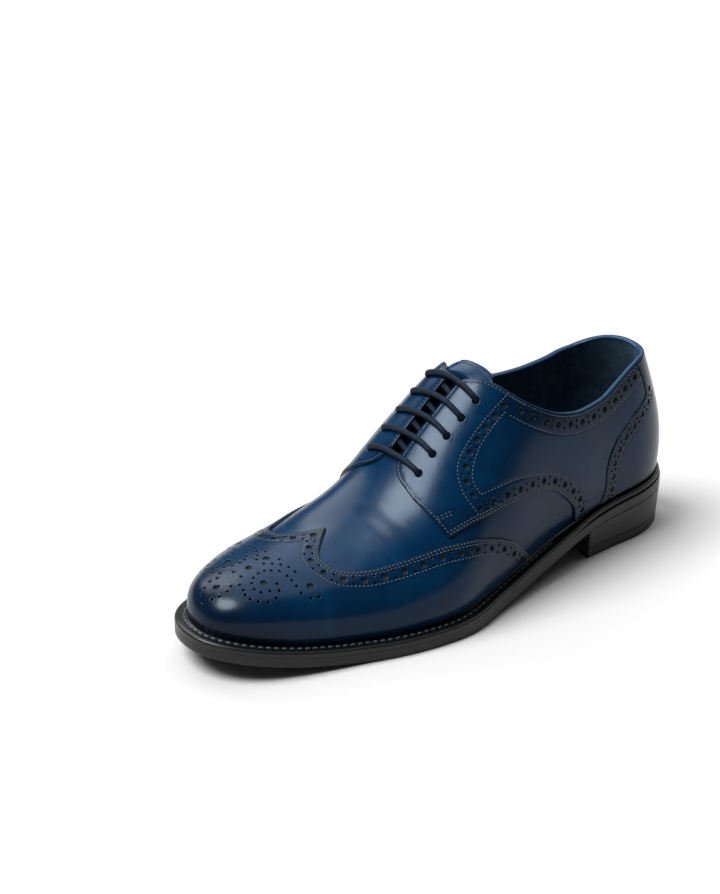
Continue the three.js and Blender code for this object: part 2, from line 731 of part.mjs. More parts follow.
function makeTongue() {
  const start = SLIT_END + TONGUE_UNDER_VAMP / LAST_LENGTH;
  const end = TOPLINE_END - TONGUE_ABOVE_FACING / LAST_LENGTH;
  const region = Array.from({ length: TONGUE_ROWS + 1 }, (_, i) => {
    const at = end + (start - end) * (i / TONGUE_ROWS) ** TONGUE_CROWDING;
    const fromTop = Math.min((at - end) * LAST_LENGTH / TONGUE_TOP_ROUND, 1);
    const round = Math.sqrt(1 - (1 - fromTop) ** 2);
    const half = TONGUE_WIDTH / 2 * Math.max(round, TONGUE_TOP_FLAT);
    return TONGUE_SHARES.map((share) => (
      layer(at, share * half / section(at, 1).girth, CUT_DEPTH, -2 * CUT_DEPTH)
    ));
  });
  return keepInside(form(TONGUE_FACE, TONGUE_BACK), solidBetween([region]));
}

// Plan outline of the sole: the feather line moved outwards by the welt's margin

function featherOutline(at, side) {
  const point = lastPoint(at, side);
  return new THREE.Vector2(point.x, point.y);
}

function soleMargin(at) {
  const waist = THREE.MathUtils.smoothstep(at, WAIST_START, WAIST_FULL);
  const forepart = THREE.MathUtils.smoothstep(at, FOREPART_START, FOREPART_FULL);
  return HEEL_MARGIN + (WAIST_MARGIN - HEEL_MARGIN) * waist + (FOREPART_MARGIN - WAIST_MARGIN) * forepart;
}

function soleOutline(at, side, margin) {
  const point = featherOutline(at, side);
  if (at >= 1) {
    return point.add(new THREE.Vector2(0, -margin));
  }
  if (at <= 0) {
    return point.add(new THREE.Vector2(0, margin));
  }
  const step = Math.min(NORMAL_STEP / 2, at / 2, (1 - at) / 2);
  const along = featherOutline(at + step, side).sub(featherOutline(at - step, side)).normalize();
  const outward = new THREE.Vector2(-along.y, along.x).multiplyScalar(side);
  return point.addScaledVector(outward, margin);
}

function soleRise(at) {
  return lastPoint(at, 1).z - FEATHER_HEIGHT;
}

// Place on a line across the sole, from -1 on its medial to 1 on its lateral edge, between two heights
// that follow from the rise of the sole there
function plate(at, share, margin, top, bottom) {
  const lateral = soleOutline(at, 1, margin);
  const medial = soleOutline(at, -1, margin);
  const point = medial.lerp(lateral, (share + 1) / 2);
  const rise = soleRise(at);
  return {
    face: new THREE.Vector3(point.x, point.y, top(rise)),
    back: new THREE.Vector3(point.x, point.y, bottom(rise)),
  };
}

function makeOutsole() {
  return solidBetween([SOLE_STATIONS.map((at) => SOLE_SHARES.map((share) => (
    plate(at, share, soleMargin(at), (rise) => rise + OUTSOLE_THICKNESS, (rise) => rise)
  )))]);
}

function makeWelt() {
  const low = (rise) => rise + OUTSOLE_THICKNESS + CLEARANCE;
  const top = (rise) => low(rise) + WELT_THICKNESS;
  const lateral = SOLE_STATIONS.map((at) => [at, 1]);
  const medial = SOLE_STATIONS.slice(1, -1).reverse().map((at) => [at, -1]);
  const ring = [...lateral, ...medial, lateral[0]].map(([at, side]) => {
    const margin = soleMargin(at);
    const inside = Math.min(Math.max(at, WELT_END), 1 - WELT_END);
    const width = soleOutline(inside, 1, margin).distanceTo(soleOutline(inside, -1, margin));
    const inner = side * (1 - 2 * (margin + WELT_LAP) / width);
    const outside = plate(at, side, margin, top, low);
    return [outside, at === inside ? plate(at, inner, margin, top, low) : plate(inside, 0, margin, top, low)];
  });
  return solidBetween([ring]);
}

// Heel: a stack under the outsole and a rubber top piece under it

function heelPlace(step, share, top, bottom) {
  const breast = HEEL_BREAST - HEEL_BREAST_HOLLOW / LAST_LENGTH * (1 - share * share);
  const at = breast * step;
  const seat = plate(at, share, HEEL_MARGIN, top, bottom);
  const drop = (z) => HEEL_TAPER * (1 - z / (HEEL_RISE + CLEARANCE));
  const shrink = (point) => {
    const front = stationY(HEEL_BREAST);
    const across = 1 - 2 * drop(point.z) / HEEL_WIDTH;
    const along = 1 - drop(point.z) / HEEL_LENGTH;
    return new THREE.Vector3(point.x * across, front + (point.y - front) * along, point.z);
  };
  return { face: shrink(seat.face), back: shrink(seat.back) };
}

function makeHeelLayer(top, bottom) {
  return solidBetween([HEEL_STEPS.map((step) => (
    HEEL_SHARES.map((share) => heelPlace(step, share, top, bottom))
  ))]);
}

// Insole: inside the upper's wall, level with its lower edge

function makeInsole() {
  const inside = UPPER_BACK - INSOLE_CLEARANCE;
  const base = (rise) => rise + FEATHER_HEIGHT;
  return solidBetween([SOLE_STATIONS.map((at) => INSOLE_SHARES.map((share) => (
    plate(at, share, inside, (rise) => base(rise) + INSOLE_THICKNESS, base)
  )))]);
}

// Laces: one bar over the facings at each pair of eyelets

function laceBar(row) {
  const at = eyeletAt(row);
  const [lateral, medial] = [1, -1].map((side) => eyeletAcross(at, side));
  const point = (across, height) => layer(at, across, height, 0).face;
  const inset = LACE_DIAMETER / section(at, 1).girth;
  const points = [point(lateral, UPPER_FACE), point(lateral, 0), point(lateral - inset, LACE_HEIGHT)];
  const from = lateral - inset;
  const to = medial + inset;
  for (let i = 1; i < LACE_SPANS; i += 1) {
    points.push(point(from + (to - from) * i / LACE_SPANS, LACE_HEIGHT));
  }
  points.push(point(medial + inset, LACE_HEIGHT), point(medial, 0), point(medial, UPPER_FACE));
  const outline = new THREE.Shape();
  outline.absarc(0, 0, LACE_DIAMETER / 2, 0, 2 * Math.PI);
  return new THREE.ExtrudeGeometry(outline, {
    steps: LACE_STEPS,
    curveSegments: 4,
    bevelEnabled: false,
    extrudePath: new THREE.CatmullRomCurve3(points),
  });
}

// Punches for the eyelets, square to the leather
function eyeletPunches(side) {
  return Array.from({ length: EYELET_COUNT }, (_, row) => {
    const at = eyeletAt(row);
    const across = eyeletAcross(at, side);
    const radius = EYELET_DIAMETER / 2;
    const punch = new THREE.CylinderGeometry(radius, radius, 2 * CUT_DEPTH, PUNCH_SIDES);
    const turn = new THREE.Quaternion().setFromUnitVectors(new THREE.Vector3(0, 1, 0), lastNormal(at, across));
    punch.applyQuaternion(turn);
    const centre = layer(at, across, UPPER_FACE, 0).face;
    return punch.translate(centre.x, centre.y, centre.z);
  });
}

const seatZ = (rise) => rise - CLEARANCE;
const liftZ = () => TOP_PIECE_THICKNESS + CLEARANCE;

addPiece('outsole', makeOutsole(), SOLE_EDGE);
addPiece('welt', makeWelt(), SOLE_EDGE);
addPiece('heel_stack', makeHeelLayer(seatZ, liftZ), SOLE_EDGE);
addPiece('heel_top_piece', makeHeelLayer(() => TOP_PIECE_THICKNESS, () => 0), RUBBER);
addPiece('insole', makeInsole(), LINING);
addPiece('upper', makeUpper(), LEATHER);
addPiece('wing_cap', makeWingCap(), BURNISHED);
addPiece('quarter_lateral', makeQuarter(1), LEATHER);
addPiece('quarter_medial', makeQuarter(-1), LEATHER);
addPiece('heel_counter', makeCounter(), BURNISHED);
addPiece('tongue', makeTongue(), LEATHER);
for (let row = 0; row < EYELET_COUNT; row += 1) {
  addPiece(`lace_bar_${row + 1}`, laceBar(row), WAXED_CORD);
}

// The origin is under the middle of the sole
const middle = new THREE.Box3().setFromObject(shoe).getCenter(new THREE.Vector3());
shoe.position.set(-middle.x, -middle.y, 0);

export default shoe;
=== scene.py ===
"""Wingtip shoe for the left foot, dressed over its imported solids.

The toe points to -Y and the outer side of the foot to +X. Sizes are millimetres of the shoe until a
mesh is made, which is in metres and in the frame's own place. Every piece of leather is laid out on
the last: a station runs from 0 at the back of the heel to 1 at the toe tip, and a share across from
1 at the lateral feather line over 0 at the ridge to -1 at the medial feather line.
"""

import logging
import math
from dataclasses import dataclass, field
from enum import Enum
from typing import Callable

import bmesh
import bpy
import numpy as np
from mathutils import Matrix, Vector
from mathutils.geometry import delaunay_2d_cdt
from mathutils.kdtree import KDTree


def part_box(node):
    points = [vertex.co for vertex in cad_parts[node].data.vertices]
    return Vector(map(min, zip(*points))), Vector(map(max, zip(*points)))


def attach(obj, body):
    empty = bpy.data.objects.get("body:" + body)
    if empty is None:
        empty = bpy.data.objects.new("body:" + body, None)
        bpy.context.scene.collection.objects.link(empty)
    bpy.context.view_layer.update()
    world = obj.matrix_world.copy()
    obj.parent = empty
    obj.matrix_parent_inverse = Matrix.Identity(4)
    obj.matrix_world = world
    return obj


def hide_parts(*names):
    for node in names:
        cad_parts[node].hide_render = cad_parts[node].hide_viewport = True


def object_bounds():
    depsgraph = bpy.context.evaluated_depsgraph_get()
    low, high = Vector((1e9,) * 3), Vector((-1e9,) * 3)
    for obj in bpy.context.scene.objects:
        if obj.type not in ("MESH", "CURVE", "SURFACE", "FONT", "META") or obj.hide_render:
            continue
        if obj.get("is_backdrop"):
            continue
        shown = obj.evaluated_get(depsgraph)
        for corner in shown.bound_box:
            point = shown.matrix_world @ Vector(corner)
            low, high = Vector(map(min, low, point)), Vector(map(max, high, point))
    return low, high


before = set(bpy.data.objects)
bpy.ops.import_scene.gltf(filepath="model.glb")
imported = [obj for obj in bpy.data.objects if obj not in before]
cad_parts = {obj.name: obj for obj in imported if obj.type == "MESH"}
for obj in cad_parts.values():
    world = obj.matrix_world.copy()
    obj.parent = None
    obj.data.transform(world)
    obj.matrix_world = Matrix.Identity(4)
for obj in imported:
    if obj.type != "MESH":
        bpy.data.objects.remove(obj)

Array = np.ndarray
Colour = tuple[float, float, float]
Curve = Callable[[Array], Array]

LOG = logging.getLogger("wingtip")
MM = 0.001
TURN = 2 * math.pi
LARGE_HOLE, LARGE_SIDES = 1.45, 14
SMALL_HOLE, SMALL_SIDES = 0.58, 8


class Side(Enum):
    """The two sides of the foot, with the sign of X that each has."""

    LATERAL = 1
    MEDIAL = -1

    @property
    def word(self) -> str:
        """The side's name in small letters."""
        return self.name.lower()


@dataclass(frozen=True)
class Table:
    """Rows of measures under named columns."""

    columns: tuple[str, ...]
    rows: tuple[tuple[float, ...], ...]

    def column(self, name: str) -> Array:
        """One column as an array."""
        return np.array([row[self.columns.index(name)] for row in self.rows])

    def knots(self, across: str, value: str) -> tuple[Array, Array, Array, Array]:
        """Places and values of a curve's knots, and widths and slopes of its spans."""
        xs, ys = self.column(across), self.column(value)
        widths = np.diff(xs)
        return xs, ys, widths, np.diff(ys) / widths

    def smooth(self, across: str, value: str) -> Curve:
        """Natural cubic spline of a column along another one, which goes on past its ends."""
        xs, ys, widths, slopes = self.knots(across, value)
        matrix = np.eye(len(xs))
        right = np.zeros(len(xs))
        for i in range(1, len(xs) - 1):
            matrix[i, i - 1:i + 2] = widths[i - 1], 2 * (widths[i - 1] + widths[i]), widths[i]
            right[i] = 6 * (slopes[i] - slopes[i - 1])
        second = np.linalg.solve(matrix, right)

        def curve(x: Array) -> Array:
            """Value of the spline."""
            i = np.clip(np.searchsorted(xs, x, side="left") - 1, 0, len(xs) - 2)
            a = (xs[i + 1] - x) / widths[i]
            b = 1 - a
            bend = (a ** 3 - a) * second[i] + (b ** 3 - b) * second[i + 1]
            return a * ys[i] + b * ys[i + 1] + bend * widths[i] ** 2 / 6

        return curve

    def steady(self, across: str, value: str) -> Curve:
        """Curve of a column along another one that never swings past its knots or its end values."""
        xs, ys, widths, slopes = self.knots(across, value)
        tangents = np.zeros(len(xs))
        tangents[0], tangents[-1] = slopes[0], slopes[-1]
        for i in range(1, len(xs) - 1):
            if slopes[i - 1] * slopes[i] > 0:
                before = 2 * widths[i] + widths[i - 1]
                after = widths[i] + 2 * widths[i - 1]
                tangents[i] = (before + after) / (before / slopes[i - 1] + after / slopes[i])

        def curve(x: Array) -> Array:
            """Value of the curve."""
            inside = np.clip(x, xs[0], xs[-1])
            i = np.clip(np.searchsorted(xs, inside, side="left") - 1, 0, len(xs) - 2)
            t = (inside - xs[i]) / widths[i]
            u = 1 - t
            bend = tangents[i] * u - tangents[i + 1] * t
            return ys[i] * u * u * (1 + 2 * t) + ys[i + 1] * t * t * (3 - 2 * t) + bend * t * u * widths[i]

        return curve


# Rise of the feather line: share of the heel rise and of the toe spring
BOTTOM = Table(("at", "heel", "toe"), (
    (0.00, 1.000, 0.00), (0.08, 0.955, 0.00), (0.16, 0.870, 0.00), (0.235, 0.745, 0.00),
    (0.30, 0.600, 0.00), (0.36, 0.440, 0.00), (0.43, 0.260, 0.00), (0.50, 0.115, 0.00),
    (0.57, 0.025, 0.00), (0.62, 0.000, 0.00), (0.66, 0.000, 0.00), (0.72, 0.000, 0.01),
    (0.79, 0.000, 0.10), (0.86, 0.000, 0.30), (0.93, 0.000, 0.61), (1.00, 0.000, 1.00),
))

# Feather line to each side of the axis, as a share of the local width
PLAN = Table(("at", "lateral", "medial"), (
    (0.00, 0.480, 0.480), (0.16, 0.482, 0.480), (0.25, 0.490, 0.455), (0.35, 0.484, 0.405),
    (0.43, 0.498, 0.395), (0.50, 0.512, 0.425), (0.57, 0.540, 0.462), (0.64, 0.522, 0.488),
    (0.70, 0.487, 0.512), (0.76, 0.432, 0.510), (0.82, 0.384, 0.488), (0.88, 0.356, 0.457),
    (0.94, 0.343, 0.428), (1.00, 0.335, 0.402),
))

# Ridge above the feather line, as shares of the toe box and instep heights, and its lean
RIDGE = Table(("at", "toe_box", "instep", "lean"), (
    (0.00, 0.000, 1.620, 0.00), (0.16, 0.000, 1.555, 0.00), (0.30, 0.000, 1.400, 0.20),
    (0.38, 0.000, 1.365, 0.33), (0.44, 0.000, 1.330, 0.49), (0.50, 0.000, 1.172, 0.76),
    (0.56, 0.116, 0.939, 0.95), (0.62, 0.324, 0.647, 1.00), (0.68, 0.563, 0.409, 0.97),
    (0.74, 0.746, 0.234, 0.90), (0.80, 0.865, 0.125, 0.73), (0.86, 0.912, 0.054, 0.41),
    (0.92, 0.925, 0.000, 0.13), (1.00, 0.920, 0.000, 0.00),
))

# Roundness of the sections: height of the widest place as a share of the ridge, how far each side
# swells past the feather as a share of its half width, and the exponents of the arch
BODY = Table(("at", "widest", "lateral", "medial", "rise", "spread"), (
    (0.00, 0.20, 0.060, 0.06, 2.00, 2.20), (0.16, 0.20, 0.080, 0.08, 2.00, 2.20),
    (0.30, 0.20, 0.120, 0.22, 2.00, 2.50), (0.45, 0.22, 0.100, 0.37, 1.80, 2.42),
    (0.58, 0.26, 0.060, 0.14, 1.70, 2.18), (0.68, 0.28, 0.045, 0.08, 1.85, 2.11),
    (0.78, 0.30, 0.040, 0.07, 2.00, 2.15), (0.90, 0.33, 0.030, 0.03, 2.20, 2.20),
    (1.00, 0.35, 0.030, 0.03, 2.20, 2.20),
))

# Back of the heel in profile: share of the girth, and share of the heel curve past the feather
BACK = Table(("up", "out"), (
    (0.00, 0.00), (0.08, 0.04), (0.16, 0.00), (0.26, -0.20), (0.38, -0.68), (0.50, -1.24),
    (0.62, -1.82), (0.80, -2.76), (1.00, -3.96),
))

# Edges of the patterns: station, and share of the girth from the feather up to the ridge
TOPLINE = Table(("at", "lateral", "medial"), (
    (0.000, 0.560, 0.560), (0.030, 0.564, 0.545), (0.060, 0.567, 0.523), (0.090, 0.566, 0.499),
    (0.110, 0.558, 0.486), (0.150, 0.524, 0.480), (0.200, 0.493, 0.492), (0.250, 0.507, 0.520),
    (0.300, 0.553, 0.567), (0.350, 0.635, 0.640), (0.400, 0.753, 0.753), (0.430, 0.865, 0.865),
    (0.452, 0.945, 0.945),
))
QUARTER_EDGE = Table(("at", "up"), (
    (0.270, 0.012), (0.278, 0.085), (0.297, 0.155), (0.325, 0.231), (0.352, 0.281), (0.380, 0.312),
    (0.433, 0.345), (0.505, 0.392), (0.550, 0.423), (0.593, 0.440),
))
FACING_FRONT_LOW = Table(("at", "up"), (
    (0.593, 0.440), (0.602, 0.564), (0.607, 0.663), (0.609, 0.730),
))
FACING_FRONT_HIGH = Table(("at", "up"), (
    (0.578, 0.948), (0.589, 0.937), (0.598, 0.906), (0.605, 0.849), (0.609, 0.730),
))
WING_EDGE = Table(("up", "at"), (
    (0.000, 0.404), (0.035, 0.400), (0.112, 0.424), (0.185, 0.451), (0.260, 0.489), (0.334, 0.537),
    (0.384, 0.578), (0.422, 0.612), (0.443, 0.647), (0.462, 0.681), (0.500, 0.730), (0.570, 0.769),
    (0.627, 0.781), (0.717, 0.786), (0.802, 0.779), (0.911, 0.755), (1.000, 0.729),
))
COUNTER_EDGE = Table(("up", "at"), (
    (0.000, 0.203), (0.103, 0.195), (0.174, 0.196), (0.237, 0.191), (0.283, 0.181), (0.324, 0.163),
    (0.358, 0.132), (0.391, 0.113), (0.413, 0.102), (0.468, 0.103), (0.541, 0.110), (0.575, 0.118),
))

# Rows of stitches that bound the punched bands on each quarter, from the top down
BAND_FRONT = Table(("at", "up"), (
    (0.404, 0.768), (0.428, 0.754), (0.456, 0.743), (0.484, 0.731), (0.512, 0.711), (0.530, 0.678),
    (0.539, 0.630), (0.541, 0.560), (0.535, 0.490), (0.527, 0.428),
))
BAND_REAR = Table(("at", "up"), (
    (0.408, 0.718), (0.438, 0.702), (0.470, 0.683), (0.493, 0.657), (0.510, 0.619), (0.518, 0.575),
    (0.516, 0.535), (0.513, 0.500),
))
BAND_TOP = Table(("at", "up"), (
    (0.237, 0.013), (0.245, 0.079), (0.261, 0.150), (0.285, 0.227), (0.322, 0.312), (0.350, 0.355),
    (0.378, 0.387), (0.427, 0.430), (0.473, 0.465), (0.513, 0.500),
))


def blend(x: Array, low: float, high: float) -> Array:
    """Smooth step from 0 at low to 1 at high."""
    t = np.clip((x - low) / (high - low), 0, 1)
    return t * t * (3 - 2 * t)


def rounded_end(at: Array, start: float, roundness: float) -> Array:
    """Share of the width that is left between where a round end starts and station 1."""
    t = np.clip((at - start) / (1 - start), 0, 1)
    return np.maximum(1 - t ** roundness, 0) ** (1 / roundness)


def measured(points: Array) -> Array:
    """Distance along a line of points, from 0 at its first."""
    return np.concatenate([[0], np.cumsum(np.linalg.norm(np.diff(points, axis=0), axis=1))])


def even_marks(points: Array, line: Array, count: int) -> Array:
    """Rows of line at the ends of count even spans of the points that go with them."""
    lengths = measured(points)
    marks = np.linspace(0, lengths[-1], count + 1)
    return np.column_stack([np.interp(marks, lengths, line[:, i]) for i in range(line.shape[1])])


def unit(vectors: Array) -> Array:
    """Rows of vectors, each made 1 long."""
    return vectors / np.linalg.norm(vectors, axis=1, keepdims=True)


def spread_stations(breaks: tuple[float, ...], counts: tuple[int, ...]) -> Array:
    """Stations with even steps from break to break, and ever closer ones from the last to the toe tip."""
    spans = zip(breaks, breaks[1:], counts)
    parts = [np.linspace(start, end, count)[:-1] for start, end, count in spans]
    turn = np.sin(np.linspace(0, math.pi / 2, counts[-1]))
    return np.concatenate([*parts, breaks[-1] + (1 - breaks[-1]) * turn])


@dataclass
class Last:
    """The form that the shoe is made on, with its sizes in millimetres."""

    length: float = 290
    ball_width: float = 92
    heel_width: float = 60
    instep_height: float = 74
    toe_box_height: float = 30
    heel_rise: float = 21.5
    toe_spring: float = 12.5
    toe_swing: float = 3.2
    ridge_lean: float = 6.3
    heel_curve: float = 10
    feather_height: float = 8.6
    heel_centre: float = 0.13
    toe_start: float = 0.80
    toe_roundness: float = 2.15
    nose_start: float = 0.865
    nose_roundness: float = 2.2
    heel_roundness: float = 2.2
    heel_section: float = 0.15
    ball_section: float = 0.66
    swing_start: float = 0.70
    flare_share: float = 0.22
    lean_power: float = 1.6
    core_share: float = 0.35
    section_points: int = 193
    station_counts: tuple[int, int, int] = (91, 301, 161)
    across_points: int = 361

    def __post_init__(self) -> None:
        """Works out the form once, as a fine net of points and normals."""
        self.heel_share = BOTTOM.steady("at", "heel")
        self.spring_share = BOTTOM.steady("at", "toe")
        self.lean_share = RIDGE.steady("at", "lean")
        self.toe_box_share = RIDGE.smooth("at", "toe_box")
        self.instep_share = RIDGE.smooth("at", "instep")
        self.body = {name: BODY.smooth("at", name) for name in BODY.columns[1:]}
        self.plan = {side: PLAN.smooth("at", side.word) for side in Side}
        self.back_share = BACK.smooth("up", "out")
        self.stations = spread_stations((0, self.heel_centre, self.toe_start), self.station_counts)
        self.shares = np.linspace(-1, 1, self.across_points)
        self.points = self.net()
        self.normals = self.net_normals()
        lengths = np.linalg.norm(np.diff(self.points, axis=1), axis=2).sum(axis=1)
        self.half_girth = lengths / 2
        self.travel = self.net_travel()

    def station_y(self, at: Array) -> Array:
        """Distance along the shoe, from the middle of the last."""
        return (0.5 - at) * self.length

    def feather_z(self, at: Array) -> Array:
        """Height of the feather line."""
        inside = np.clip(at, 0, 1)
        rise = self.heel_rise * self.heel_share(inside) + self.toe_spring * self.spring_share(inside)
        return self.feather_height + rise

    def axis_x(self, at: Array) -> Array:
        """Swing of the axis to the medial side at the toe."""
        return -self.toe_swing * blend(at, self.swing_start, 1)

    def half_width(self, at: Array, side: Side) -> Array:
        """Feather line's distance from the axis."""
        share = blend(at, self.heel_section, self.ball_section)
        width = self.heel_width + (self.ball_width - self.heel_width) * share
        return width * self.plan[side](at) * rounded_end(at, self.toe_start, self.toe_roundness)

    def ridge_height(self, at: Array) -> Array:
        """Height of the ridge above the feather line."""
        height = self.toe_box_height * self.toe_box_share(at) + self.instep_height * self.instep_share(at)
        return height * rounded_end(at, self.nose_start, self.nose_roundness)

    def section(self, at: float, side: Side, ups: Array) -> tuple[Array, Array, float]:
        """Half a section.

        Args:
            at: its station.
            side: the half wanted.
            ups: shares of the half girth, from the feather up.

        Returns:
            Distances from the axis, heights above the feather and the half girth.
        """
        where = np.array(at)
        shape = {name: float(curve(where)) for name, curve in self.body.items()}
        foot, top = float(self.half_width(where, side)), float(self.ridge_height(where))
        widest_z = top * shape["widest"]
        widest = foot * (1 + shape[side.word])
        t = np.linspace(0, 1, self.section_points)
        low = np.clip(t / self.flare_share, 0, 1)
        angle = math.pi / 2 * np.clip((t - self.flare_share) / (1 - self.flare_share), 0, 1)
        arch = widest * np.maximum(np.cos(angle), 0) ** (2 / shape["spread"])
        arch[-1] = 0
        out = np.where(t < self.flare_share, foot + (widest - foot) * (1 - (1 - low) ** 2), arch)
        high = widest_z + (top - widest_z) * np.sin(angle) ** (2 / shape["rise"])
        z = np.where(t < self.flare_share, widest_z * low, high)
        lean = -side.value * self.ridge_lean * float(self.lean_share(where))
        share = z / top if top > 0 else np.zeros_like(z)
        out = out + lean * share ** self.lean_power
        lengths = measured(np.column_stack([out, z]))
        marks = ups * lengths[-1]
        return np.interp(marks, lengths, out), np.interp(marks, lengths, z), float(lengths[-1])

    def half_row(self, at: float, side: Side, ups: Array) -> Array:
        """Points of one station on one side, for shares of the half girth from the feather up."""
        if at >= self.heel_centre:
            out, z, _ = self.section(at, side, ups)
            x = self.axis_x(np.array(at)) + side.value * out
            return np.column_stack([x, np.full_like(x, self.station_y(at)), self.feather_z(at) + z])
        other = Side(-side.value)
        turn = (1 - at / self.heel_centre) * math.pi / 2
        own_out, own_z, _ = self.section(self.heel_centre, side, ups)
        other_out, other_z, _ = self.section(self.heel_centre, other, ups)
        mix = 0.5 * float(blend(np.array(turn), 0, math.pi / 2))
        out = own_out + (other_out - own_out) * mix
        z = own_z + (other_z - own_z) * mix
        depth = self.heel_centre * self.length + self.heel_curve * self.back_share(ups)
        power = 2 / self.heel_roundness
        narrow = 0.0 if at <= 0 else math.cos(turn) ** power
        y = self.station_y(self.heel_centre) + depth * math.sin(turn) ** power
        lift = (self.feather_z(0.5 - y / self.length) - self.feather_z(self.heel_centre)) * (1 - ups)
        return np.column_stack([side.value * out * narrow, y, self.feather_z(self.heel_centre) + z + lift])

    def net(self) -> Array:
        """Points at every station and share across."""
        middle = len(self.shares) // 2
        rows = []
        for at in self.stations:
            medial = self.half_row(float(at), Side.MEDIAL, 1 + self.shares[:middle])
            lateral = self.half_row(float(at), Side.LATERAL, 1 - self.shares[middle:])
            rows.append(np.concatenate([medial, lateral]))
        return np.array(rows)

    def net_normals(self) -> Array:
        """Outward normals of the net."""
        along = np.gradient(self.points, axis=0)
        along[0] = self.points[1] - self.points[1, ::-1]
        over = np.gradient(self.points, axis=1)
        normals = np.cross(along, over)
        normals = normals / np.maximum(np.linalg.norm(normals, axis=2, keepdims=True), 1e-12)
        heights = np.array([self.ridge_height(np.array(max(at, self.heel_centre))) for at in self.stations])
        core = np.column_stack([
            self.axis_x(self.stations),
            np.minimum(self.station_y(self.stations), self.station_y(self.heel_centre)),
            self.feather_z(self.stations) + self.core_share * heights,
        ])
        outward = self.points - core[:, None, :]
        sign = np.where((normals * outward).sum(axis=2) < 0, -1.0, 1.0)
        normals = normals * sign[..., None]
        normals[-1] = (0, -1, 0)
        return normals

    def net_travel(self) -> Array:
        """Flat distance of each station from the back of the heel, for laying leather out flat."""
        steps = np.diff(self.points, axis=0)
        last_share = len(self.shares) - 1
        picked = [int(round((share + 1) / 2 * last_share)) for share in (-0.75, -0.5, 0.5, 0.75)]
        girth_steps = np.diff(self.half_girth)
        total = np.zeros(len(steps))
        for i in picked:
            whole = np.linalg.norm(steps[:, i], axis=1)
            across = self.shares[i] * girth_steps
            total += np.sqrt(np.maximum(whole ** 2 - across ** 2, (0.35 * whole) ** 2))
        return np.concatenate([[0], np.cumsum(total / len(picked))])

    def sample(self, at: Array, share: Array) -> tuple[Array, Array]:
        """Points and normals anywhere on the last.

        Args:
            at: stations.
            share: shares across.

        Returns:
            Points and outward normals, one row each.
        """
        i = np.interp(at, self.stations, np.arange(len(self.stations)))
        j = (np.clip(share, -1, 1) + 1) / 2 * (len(self.shares) - 1)
        i0 = np.minimum(i.astype(int), len(self.stations) - 2)
        j0 = np.minimum(j.astype(int), len(self.shares) - 2)
        u, w = (i - i0)[:, None], (j - j0)[:, None]

        def bilinear(grid: Array) -> Array:
            """Value of the net between its lines."""
            first = grid[i0, j0] * (1 - w) + grid[i0, j0 + 1] * w
            second = grid[i0 + 1, j0] * (1 - w) + grid[i0 + 1, j0 + 1] * w
            return first * (1 - u) + second * u

        return bilinear(self.points), unit(bilinear(self.normals))

    def place(self, at: Array, share: Array, depth: Array | float) -> Array:
        """Points at a height above the face of the last, along its normal."""
        points, normals = self.sample(np.atleast_1d(at), np.atleast_1d(share))
        return points + normals * np.reshape(depth, (-1, 1))

    def girth(self, at: float, side: Side) -> float:
        """Half girth on one side of a station."""
        return self.section(max(at, self.heel_centre), side, np.array([0.0]))[2]

    def ridge_station(self, distance: Array, start: float) -> Array:
        """Stations at distances along the ridge from a first one towards the toe."""
        ridge = measured(self.points[:, len(self.shares) // 2])
        offset = np.interp(start, self.stations, ridge)
        return np.interp(offset + distance, ridge, self.stations)

    def feather(self, at: Array, side: Side) -> Array:
        """Feather line in plan."""
        at = np.asarray(at, float)
        own = self.half_width(np.maximum(at, self.heel_centre), side)
        other = self.half_width(np.maximum(at, self.heel_centre), Side(-side.value))
        turn = np.clip(1 - at / self.heel_centre, 0, 1) * math.pi / 2
        mix = 0.5 * blend(turn, 0, math.pi / 2)
        power = 2 / self.heel_roundness
        narrow = np.where(at < self.heel_centre, np.maximum(np.cos(turn), 0) ** power, 1)
        narrow = np.where(at <= 0, 0, narrow)
        out = np.where(at < self.heel_centre, own + (other - own) * mix, own) * narrow
        round_y = self.station_y(self.heel_centre) + self.heel_centre * self.length * np.sin(turn) ** power
        y = np.where(at < self.heel_centre, round_y, self.station_y(at))
        return np.column_stack([self.axis_x(at) + side.value * out, y])


